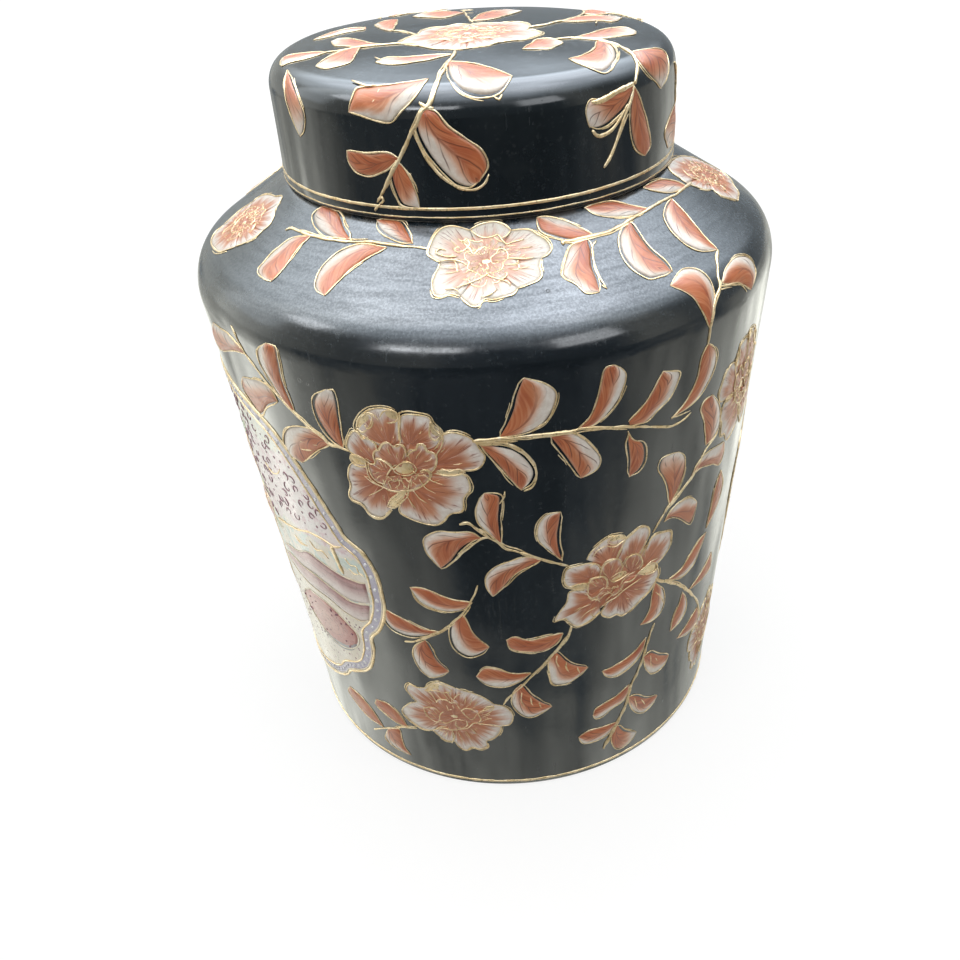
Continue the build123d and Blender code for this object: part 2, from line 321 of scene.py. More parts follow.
     [(-23.5,32.6),(-23.7,18.1),(-24.4,8.8),(-27.2,12.4),(-30.4,23.3)], 'T', ''),
    ('l06', 'l', [(-2,34.4),(-8.1,45.9),(-14,47.4),(-18.7,37.4)],
     [(-2,34.4),(-7.8,26.5),(-13.5,31.6),(-18.7,37.4)], 'T', ''),
    ('l07', 'l', [(0.8,13.4),(4.3,29.8),(10.5,38.1),(17.6,34.2)],
     [(0.8,13.4),(6.5,15.6),(11.5,23.3),(17.6,34.2)], 'T', ''),
    ('l08', 'l', [(-5.5,-31),(-11.6,-30.3),(-18.6,-30.1),(-23.5,-28.3),(-26.6,-32.2)],
     [(-5.5,-31),(-11.6,-34.4),(-18.4,-36.2),(-23.1,-35.5),(-26.6,-32.2)], 'T', ''),
    ('l09', 'l', [(37.4,26.2),(40.2,39),(43.4,35),(46.7,31.1)],
     [(37.4,26.2),(40.5,24),(43.8,27.2),(46.7,31.1)], 'N', ''),
    ('l10', 'l', [(28.3,8.1),(35.3,18.6),(42.2,21.8),(46.5,20.3),(48.9,18.5)],
     [(28.3,8.1),(34.2,8.2),(40.2,10.6),(44.4,9.2),(48.9,18.5)], 'T', ''),
    ('l11', 'l', [(29.3,-17.2),(35.2,-11.1),(41.5,-3.3),(47.1,-0.9),(49.6,-6.7)],
     [(29.3,-17.2),(37.5,-16.4),(43.8,-13.2),(48,-11.3),(49.6,-6.7)], 'T', ''),
    ('l12', 'l', [(14.3,-29.6),(16.6,-24.3),(19.3,-18.5),(22.8,-17.6),(26.2,-22.7)],
     [(14.3,-29.6),(17.7,-29.4),(21.4,-29.2),(24.2,-26),(26.2,-22.7)], 'T', ''),
    ('l13', 'l', [(36.2,-20.2),(34.1,-30.6),(30.4,-36.8),(26.2,-40.6)],
     [(36.2,-20.2),(39.1,-22.5),(39.9,-29.3),(39.1,-37.6),(36.9,-44.6),(34.5,-47.8),(31.7,-47.4),(28.8,-44.3),(26.2,-40.6)], 'B', 'B'),
    ('l14', 'l', [(44.6,-32.1),(49.9,-27.6),(55.8,-22.9),(57.7,-24.9),(59.2,-29.8),(58.3,-35.5)],
     [(44.6,-32.1),(46.7,-37.7),(50.5,-38.5),(58.3,-35.5)], 'T', 'B'),
    ('l15', 'l', [(-6.6,-37.7),(-2,-39.8),(3.3,-44.5),(7.1,-49.4),(10,-54)],
     [(-6.6,-37.7),(-6.1,-49.5),(-3.9,-58),(0.1,-60.5),(4.5,-60.7),(7.4,-59),(10,-54)], 'B', 'B'),
    ('l16', 'l', [(-11.9,-51.4),(-16.6,-52.6),(-21.9,-52.8),(-27.3,-51.5),(-31,-50.6),(-32.6,-52.5),(-35.3,-54.8)],
     [(-11.9,-51.4),(-14.1,-57.1),(-17.1,-59.7),(-21.1,-61.1),(-24.3,-62.2),(-29.3,-59.5),(-35.3,-54.8)], 'B', ''),
    ('l17', 'l', [(-14,-62.1),(-11,-63.5),(-8.5,-67.3),(-4.1,-70.5),(0.1,-73.1),(2.3,-77.3),(-0.8,-81.3)],
     [(-14,-62.1),(-16.8,-65.7),(-15.9,-71),(-12.9,-76.3),(-8.4,-80.7),(-4,-82.1),(-0.8,-81.3)], 'B', 'B'),
    ('l18', 'l', [(-25.5,-70.8),(-28.9,-68.4),(-34.5,-66.4),(-39.1,-63.6),(-43,-61.2)],
     [(-25.5,-70.8),(-31.9,-71.7),(-38.7,-70.2),(-43.4,-66.7),(-44.4,-63.5),(-43,-61.2)], 'N', ''),
    ('l19', 'l', [(-26.8,-70.9),(-30.4,-74.1),(-30.8,-79.1),(-29.9,-81.5),(-24.1,-84.3)],
     [(-26.8,-70.9),(-24.7,-75.2),(-24,-79.6),(-24.1,-84.3)], 'T', 'A'),
    ('l20', 'l', [(-52.4,-25),(-53.9,-30.8),(-56.4,-35.6),(-58.3,-39.1),(-59.4,-43.8)],
     [(-52.4,-25),(-51.1,-33.7),(-50.8,-39.9),(-52.2,-43.5),(-55.7,-44.6),(-59.4,-43.8)], 'T', 'B'),
    ('l21', 'l', [(45.3,-45.8),(40.3,-51.6),(35.8,-55.4),(32,-57.2),(31.8,-60),(34.8,-62.7)],
     [(45.3,-45.8),(45,-51.3),(41.6,-57.6),(38.4,-61),(34.8,-62.7)], 'T', 'B'),
    ('l22', 'l', [(45.5,-46.2),(48.2,-51.2),(52.5,-54.9),(58,-56.2),(63.8,-54)],
     [(45.5,-46.2),(51.5,-47.1),(58.5,-48.1),(64.4,-49.7),(63.8,-54)], 'N', 'A'),
    ('l23', 'l', [(75.1,-15.8),(72.3,-26.8),(71.1,-33.3),(71.9,-37.9),(78.1,-35.5)],
     [(75.1,-15.8),(78.1,-17.1),(82.4,-17.7),(85.1,-18.8),(78.1,-35.5)], 'T', ''),
]
STEMS = [
    ('t01', 'b', [(-4.7,170.1),(-1.7,170.2),(1.7,170.3),(5.1,170.4),(8.5,170.2),(12.1,169.9),(14.8,170),(17.6,169.2),(21.5,167.7),(25.6,165.5),(30.2,162.8),(33.2,161.1),(35.2,161.2),(36.8,161.9),(38,162.8)], 1, 0.45, 'plain'),
    ('t01b', 'b', [(-4.1,169.4),(-1.7,169.2),(0.5,169.1),(3,169.4)], 0.9, 0.3, 'plain'),
    ('t02', 'b', [(31.1,120.9),(32.2,123.8),(33.6,126.9),(34.3,128.9),(36.4,130.9),(38.8,133.8),(40.5,135.7),(42.8,139),(44.3,142.8),(45.9,144.6),(47.6,145.9),(49,147)], 0.6, 0.5, 'plain'),
    ('t03', 'b', [(-8.7,139.9),(-7.2,140.4),(-5.8,138.4),(-4.4,136.3),(-3.2,134.2),(-1.8,132.1),(-0.4,129.8),(1.5,128.3),(3.6,126.1),(5.7,124.3),(7.6,122.4),(9.6,120.6),(11.7,118.7)], 0.75, 0.6, 'plain'),
    ('t03b', 'b', [(-3.2,134.2),(-4.5,134.3),(-6.2,132.3),(-8.3,129),(-10.4,125.1),(-12.5,121.8)], 0.6, 0.5, 'plain'),
    ('t04', 'b', [(-6.7,114.3),(-7.3,110.7),(-8.3,107.5),(-9.1,104.6),(-10.3,101.2),(-12,97.6),(-14,94.3),(-15.9,91.3),(-18,88.7),(-20.5,85.7),(-23.1,83.5),(-24.9,82.6)], 0.4, 0.75, 'plain'),
    ('t05', 'b', [(12.3,90.5),(11.9,87.2),(10.8,84.2),(9.4,80.7),(7.5,76.7),(5.7,72.6),(3.8,68.8),(1.9,64.9),(-0.3,60.8),(-2.3,57.1),(-3.8,52.6)], 0.7, 0.55, 'plain'),
    ('t06', 'b', [(-27.1,30.8),(-30.9,28.5),(-34.5,24.7),(-38.4,20.8),(-43.5,14.4)], 0.6, 0.5, 'plain'),
    ('t07', 'b', [(34.3,75.2),(33.6,71.6),(32.9,67.5),(32.2,63.8),(31.8,59.7),(31.1,55.9),(30.1,51.2),(29,47.6),(28.3,43.5),(27.9,38.4),(27.2,33.6),(26.1,29.6),(25,25.5),(24,21.4),(22.6,16.7),(21.5,13)], 0.55, 0.95, 'rope'),
    ('t08', 'b', [(-27.7,162.9),(-28.7,163.2),(-30.2,163.4),(-31.8,163.4),(-33.5,165.5),(-35.5,167.3),(-37.5,169.5),(-39.3,171.7),(-41.2,173.8),(-43.1,176.1),(-44.7,178),(-46.3,180.8),(-48,183.4),(-49.7,185.4),(-50.7,187.4),(-51.5,190.5),(-52.6,192.6)], 0.7, 0.5, 'plain'),
    ('t09', 'b', [(33.3,98.6),(34.7,95.9),(37.5,92.8),(40.5,88.7),(44.1,82.8),(47.4,76.5),(50.8,69.9),(53.7,61.9),(55.9,53.4)], 0.8, 0.7, 'plain'),
    ('t10', 'b', [(-54.4,226.1),(-53,227.5),(-49.3,227.4),(-45.5,227.6),(-41.3,227.8),(-37.3,228.2),(-33,228.7),(-29,229.3),(-25.1,229.6),(-21.2,229.4),(-17.5,229.2),(-12.7,228.6)], 0.7, 0.6, 'plain'),
    ('t11', 'b', [(17.4,226.4),(17.3,227.5),(18.7,227.4),(21.2,227.4),(24.2,227.4),(26.9,227.4),(29.7,227.4),(33,228.1),(36.6,228.9),(40.6,229.5),(44.9,230),(49.5,230.2),(54,229.7),(59.6,229.2),(64.1,229),(68.6,228.2)], 0.8, 0.6, 'plain'),
    ('t12', 'b', [(50.9,208.2),(47.9,205.2),(45.7,201.8),(44.4,198.7),(42.3,196),(40.9,193.3),(40.4,189.8),(40.4,186.7),(40.3,183.3)], 0.75, 0.6, 'plain'),
    ('t13', 'b', [(44.4,198.7),(47,197.8),(50.1,196.6),(52.3,192.6)], 0.45, 0.4, 'plain'),
    ('t14', 'b', [(32.7,164.2),(35,163.8),(37.7,163.7)], 0.3, 0.25, 'plain'),
    ('u01', 'l', [(-13.3,-17.2),(-19.2,-13.6),(-25.1,-12.3),(-32,-11.4),(-36.9,-12.6),(-42.8,-12.3)], 0.7, 0.6, 'plain'),
    ('u02', 'l', [(-24.1,8.6),(-20.5,4.8),(-17.6,-0),(-15,-5.8)], 0.5, 0.5, 'plain'),
    ('u03', 'l', [(-1.9,43),(-0.7,25.3),(0.8,11.4)], 0.5, 0.5, 'plain'),
    ('u04', 'l', [(18.1,-0.7),(22.9,2.2),(26.3,6.3),(29.7,10),(33.5,16.3),(37.1,26.1),(38.4,38.4)], 0.6, 0.5, 'plain'),
    ('u05', 'l', [(24.5,-18.3),(30.2,-16.6),(34.4,-17.8),(37.2,-18.9),(39.3,-21.3),(41,-23.6),(42.5,-26.9),(43.9,-31.1),(44.7,-36.2),(45.4,-39.1),(45.3,-42.8),(45.7,-45.5)], 0.6, 0.8, 'plain'),
    ('u06', 'l', [(-4.4,-28.1),(-5.5,-34.1),(-6.9,-41.4),(-8.3,-48.1),(-9.3,-55.8),(-10.6,-59.4),(-12.3,-61.8),(-14.5,-62.7),(-17.6,-65.5),(-21.1,-67.9),(-24.7,-70.1),(-27.7,-71.9),(-30.9,-73.4),(-34.3,-75.1),(-37.9,-76.4),(-40.5,-76.9)], 0.75, 0.75, 'plain'),
    ('u07', 'l', [(45.5,-46.2),(46.2,-49.1),(46.5,-52.3),(46.7,-56.2),(46.8,-60.1),(46.7,-64),(46.1,-67.4),(45.5,-69.1)], 0.6, 0.7, 'plain'),
    ('u08', 'l', [(43.3,35.4),(46.8,31.2),(50.1,25.4),(52.3,21.4)], 0.45, 0.35, 'plain'),
]
FLOWERS = [
    ('f1', 'b', (-17.6, 160.5), [(-28.1,164.9),(-27.2,168.4),(-25.8,171.2),(-25.1,173.8),(-23.7,177.2),(-22.1,179.2),(-20.6,179.2),(-19.4,178.8),(-18,180),(-16.7,179.9),(-15.7,178.8),(-14.3,179),(-13,178.5),(-11.8,178.6),(-11.3,176.7),(-10.6,173.8),(-9.8,172.8),(-8.6,173.5),(-7.1,173.2),(-5.8,171.5),(-4.6,169.8),(-4,167.4),(-3.1,164.2),(-3.5,161.1),(-4.9,160.1),(-6.8,159.8),(-7.3,158.4),(-6.4,155.9),(-6,152.9),(-6.9,150.3),(-7.8,149.2),(-7.2,147),(-7.9,144.6),(-9.4,144.2),(-10.8,143.3),(-11.7,140.9),(-13.5,139.5),(-15.4,140.3),(-17.2,141.5),(-19.1,143),(-20.5,144.6),(-21.9,142.6),(-23.7,139.6),(-25.2,139.4),(-26.3,141.8),(-27.8,143.1),(-29.5,143.9),(-29.9,146.1),(-29,149.2),(-29.3,151.7),(-29.3,154.7),(-28.5,157.2),(-27.5,158.7),(-28.1,160.7),(-28.4,163)],
     [2, 7, 10, 16, 25, 30, 40, 52]),
    ('f2', 'b', (21.5, 108.4), [(10.8,115.5),(11.7,117.8),(13.1,118),(14.6,118.2),(15.7,119.4),(16.3,122.1),(17.5,124),(19,124.9),(20.5,126.5),(22.3,126.3),(24.2,124.2),(25.9,124.8),(27.3,125.9),(29.3,124.8),(30.5,121.8),(30.4,119.3),(31.8,118.6),(33.7,118.8),(35.4,118.2),(36.6,115),(36.6,111.4),(35.9,108.4),(34.2,106.7),(32.9,105.6),(33.4,101.4),(32.7,98.7),(31.5,96),(30.8,92.7),(29,90.8),(27.1,89.4),(25.3,88.4),(23.5,89.8),(21.7,89.6),(20.2,91.2),(19,93.5),(17.8,91.8),(16.2,90.3),(14.4,89.4),(12.8,91.7),(11.4,94.3),(9.7,95.1),(9.1,96.4),(10.1,99.3),(11.5,102.5),(12.1,105.5),(13,107.4),(11.7,108.9),(10.6,111.6)],
     [4, 8, 15, 23, 34, 39, 45]),
    ('f3', 'b', (-15.8, 44.9), [(-30.3,39.2),(-29.2,43.1),(-27.2,46.4),(-25.1,48.4),(-26.4,51.1),(-27.4,54.6),(-26.2,58.3),(-24.4,57.6),(-22.3,58.2),(-20.2,62.1),(-18.1,63.5),(-16.3,62.5),(-14.4,61.3),(-12.6,60),(-10.8,59.2),(-9,57.7),(-7.4,55.5),(-5.9,53.2),(-3.8,52),(-2.3,48.9),(-1.7,45.2),(-2.8,41),(-4.8,39.9),(-5.2,36.8),(-6.8,32.3),(-8.9,30.2),(-8.8,26.9),(-10.7,24.7),(-12.5,25.6),(-14.4,23.1),(-16.1,25.1),(-17.2,28),(-19.4,27.7),(-21.1,30.1),(-22.5,32.5),(-25,31.6),(-27.4,33.2),(-29.2,35.7)],
     [3, 8, 12, 17, 22, 25, 31, 34]),
    ('s1', 'b', (-0.2, 223.6), [(-12.7,227),(-12.6,229.9),(-12.2,232.6),(-10.8,235),(-8.6,236),(-6.1,235.6),(-3.6,234.4),(-1.6,236),(0.5,236.8),(3,236.9),(5.1,235.6),(6.3,233.4),(8.5,233.5),(10.9,233),(12.2,231.1),(13.8,229),(14.2,225.8),(12.9,224.1),(11.5,223.4),(10.8,220.9),(10.6,217.9),(9.4,216.2),(7.5,215.3),(5.5,214.7),(4.4,212.9),(2.4,212.3),(0.4,211.9),(-1,212.1),(-2,209.9),(-3.1,210),(-4.3,211.4),(-5.3,213.3),(-7,214),(-8.8,213.1),(-10.1,213.4),(-11,216.6),(-10.9,219.8),(-10.1,222.4),(-9.8,224.1),(-11.4,225.3)],
     [6, 11, 18, 23, 31, 38]),
    ('s2', 'b', (-72.0, 219.0), [(-79.6,205.4),(-82.8,206.9),(-83.1,210.4),(-83.6,214.3),(-84.2,218.2),(-83.1,222.6),(-82.6,226.1),(-78.7,229.5),(-72.6,231.8),(-69.5,233.4),(-67.2,231.3),(-66.7,229.4),(-63.5,227.4),(-61.9,224.7),(-62.3,222),(-62.7,218.8),(-64.5,215.5),(-66.7,212.4),(-68.5,209.7),(-70.4,207.4),(-74.7,205.9)],
     [2, 5, 10, 14, 17]),
    ('s3', 'b', (77.0, 225.6), [(67.2,236.9),(73.9,236.9),(82.3,234.1),(90.1,228.7),(94.5,223.3),(96.5,217.9),(99,211.8),(94.8,210.5),(87.6,211.7),(82.8,211),(76.4,212),(74.3,215),(72.4,218.3),(72.7,221.4),(69,224.1),(67.5,226.7),(66,229.3),(66.1,232.4),(66,235)],
     [3, 6, 10, 13, 16]),
    ('lt', 'l', (-0.7, -9.5), [(-20.4,-11.8),(-19.2,-6.8),(-16.3,-2.2),(-14.7,3.4),(-11,6.9),(-7,7),(-3.3,9.1),(0.1,6.9),(4.4,8.3),(9,7),(12.5,9),(16.2,7.4),(18.3,1.8),(17,-3.7),(19.9,-6.3),(20.7,-10.7),(18.1,-15.2),(14.7,-18),(11.5,-18.8),(8,-20.6),(5,-23),(1.9,-24.1),(-1.5,-26.1),(-5.5,-25.6),(-9.5,-24.5),(-12.6,-21.7),(-15.6,-17.6),(-18,-15.4)],
     [3, 7, 10, 13, 19, 22, 25]),
]
PETALS = {
    'f1': [
        (0, (-22.8, 160.8), [(-24,160.1),(-24.7,161.7),(-26.1,162.4),(-27.4,162.5),(-28.1,164.3),(-27.5,167.2),(-26.2,170.5),(-25.4,170.2),(-24.4,168.8),(-22.7,168.4),(-21.7,166.9)]),
        (0, (-19.4, 166.9), [(-21.7,166.9),(-23,168.9),(-24.5,169.6),(-25.2,171.6),(-24.5,174.6),(-22.9,177.5),(-21.3,179),(-19,179.7),(-17.4,179.1),(-17,176.3),(-17.1,173.6),(-17.4,169.3)]),
        (0, (-15.6, 168.2), [(-17.4,169.3),(-17.1,173.6),(-16.5,177.5),(-15.3,178.5),(-13.6,178.4),(-11.6,177.8),(-11,175.4),(-10.1,173.7),(-9.8,172.1),(-10.7,168.7),(-11.6,167)]),
        (0, (-12.0, 161.7), [(-10.7,167.6),(-9.8,171.6),(-8.3,173),(-6.1,172.2),(-4.5,170.2),(-3.5,167),(-2.8,164.7),(-3.7,161.2),(-5.3,160.1),(-6.8,160.1),(-8.5,159.9),(-11.1,159.3)]),
        (0, (-16.9, 153.8), [(-12.2,158.7),(-9.8,158.3),(-7.1,158.7),(-6.1,156),(-5.9,152.9),(-7.3,150.3),(-7.4,147.3),(-8,144.8),(-10.2,143.9),(-11.3,141.3),(-13,139.3),(-14.9,139.4),(-17.5,140.6),(-19.9,142.6),(-18.9,147.7),(-17.6,151.2)]),
        (0, (-21.9, 155.0), [(-20.8,145.3),(-22.4,141.9),(-24.4,139.2),(-26.5,139.9),(-27.5,143.2),(-30,144.2),(-30.2,146.2),(-29.2,149.9),(-29.4,153.5),(-28.6,156.9),(-27.2,159),(-25.4,159.5),(-24.5,158.5),(-24.2,155.5),(-23.2,153.1),(-20.8,150.7)]),
        (1, (-17.9, 160.2), [(-22.8,161.7),(-22.6,164.4),(-21.5,166),(-20.7,167.8),(-19.7,168.7),(-18.9,167.6),(-18.1,167.1),(-17.1,168.4),(-16.6,167),(-16.5,164.6)]),
        (1, (-15.7, 160.1), [(-16.4,164.6),(-15.9,166.7),(-14.7,166.9),(-13.9,168.6),(-13.1,168.5),(-12.7,166.3),(-11.6,166.1),(-11.2,164.6),(-11.5,161.8),(-12.6,159.3)]),
        (1, (-20.1, 157.3), [(-24.1,159.9),(-23,160.1),(-22.3,162.1),(-21.1,162.4),(-20.3,161.5),(-19.5,159.9)]),
        (2, (-20.3, 157.9), [(-19.5,159.9),(-20.7,157.2),(-21.8,153.5),(-23.1,153.7),(-24,156.2),(-24.1,159.9)]),
        (1, (-18.3, 156.0), [(-22.2,153.1),(-21.5,151.4),(-19.7,151),(-17.4,151.8),(-15,153.8),(-13.3,156.5),(-12.6,159.2),(-13.6,159.8),(-14.6,158.4)]),
        (2, (-18.1, 157.8), [(-21.5,152.7),(-21.7,154.5),(-21.3,156.1),(-20.2,156.1),(-19.8,155),(-18.8,155.8),(-18.2,155.4),(-17.9,153.3)]),
        (2, (-15.6, 158.3), [(-17.3,152.5),(-16.7,155.7),(-15.9,157.6),(-15.6,156.5),(-15,158.4),(-13.9,160),(-12.8,159.3),(-12.8,158.1)]),
    ],
    'f2': [
        (0, (16.8, 110.7), [(16.1,107.1),(13.9,109.4),(12.1,109.1),(11,111.3),(11,115),(11.7,117.5),(13.8,117.9),(16.3,117.6),(18,116),(18.7,113.3),(18.2,112.1)]),
        (0, (20.5, 114.5), [(15.6,119.5),(16.3,122),(17.7,124.1),(19.4,125.9),(20.9,126.6),(23.2,125.6),(24.1,123.8),(23.7,121.8),(22.7,117.5),(22.1,115.6)]),
        (0, (25.7, 111.7), [(22.1,115.6),(23.4,119.2),(24,122.4),(25.9,124.6),(27.5,125.7),(29.4,124.5),(30,121.6),(29.5,119.1),(28.8,116),(28.1,112.8)]),
        (0, (29.2, 108.2), [(28.1,112.8),(29.7,116.8),(31.3,119.2),(33.6,118.7),(36.1,117.2),(36.6,113.9),(36.2,109.8),(34.4,106.8),(33,105.7)]),
        (0, (23.6, 101.7), [(33.1,104.5),(33.9,100.3),(33.1,97),(31,93.3),(28.8,91.2),(26.6,88.7),(24.5,87.9),(23.1,89.8),(21.5,89.3),(19.4,92.4),(20.5,96.7)]),
        (0, (18.4, 101.2), [(19,94.1),(16.7,90.9),(14,89.5),(12.1,92.5),(11,94.9),(8.9,94.5),(9.6,97.9),(11.4,101.9),(12.1,107),(15.1,106.1)]),
        (1, (21.0, 107.3), [(18.7,113),(18.9,114.7),(20,116.6),(21.9,116.3),(23.2,114.2),(23.7,111.2),(23.3,109.2)]),
        (1, (25.8, 107.8), [(23.6,113.1),(25.1,115.8),(26.8,115.4),(28.2,112.6),(28.8,109.1),(28,107.3)]),
        (1, (19.9, 105.8), [(16.1,109.6),(16.4,110.9),(17.9,111),(19.5,110.2),(20.3,107.6),(20.1,104.9)]),
        (1, (19.5, 105.2), [(15.1,106.1),(15.7,108.2),(16.1,109.5),(20.2,107.1),(20.1,104.9),(18.5,102.8),(17.1,101.2),(16,102.7)]),
        (1, (21.9, 102.9), [(17.9,99.6),(18.4,102.8),(19.1,104.7),(20.3,105.1),(21.9,102.9),(23.5,103.3),(24.3,104.3)]),
        (2, (22.7, 103.9), [(20.1,98.6),(21.2,100.2),(22.4,100.2),(23.6,101.7),(24.3,104.3),(26,103.8),(27.6,105.6)]),
    ],
}
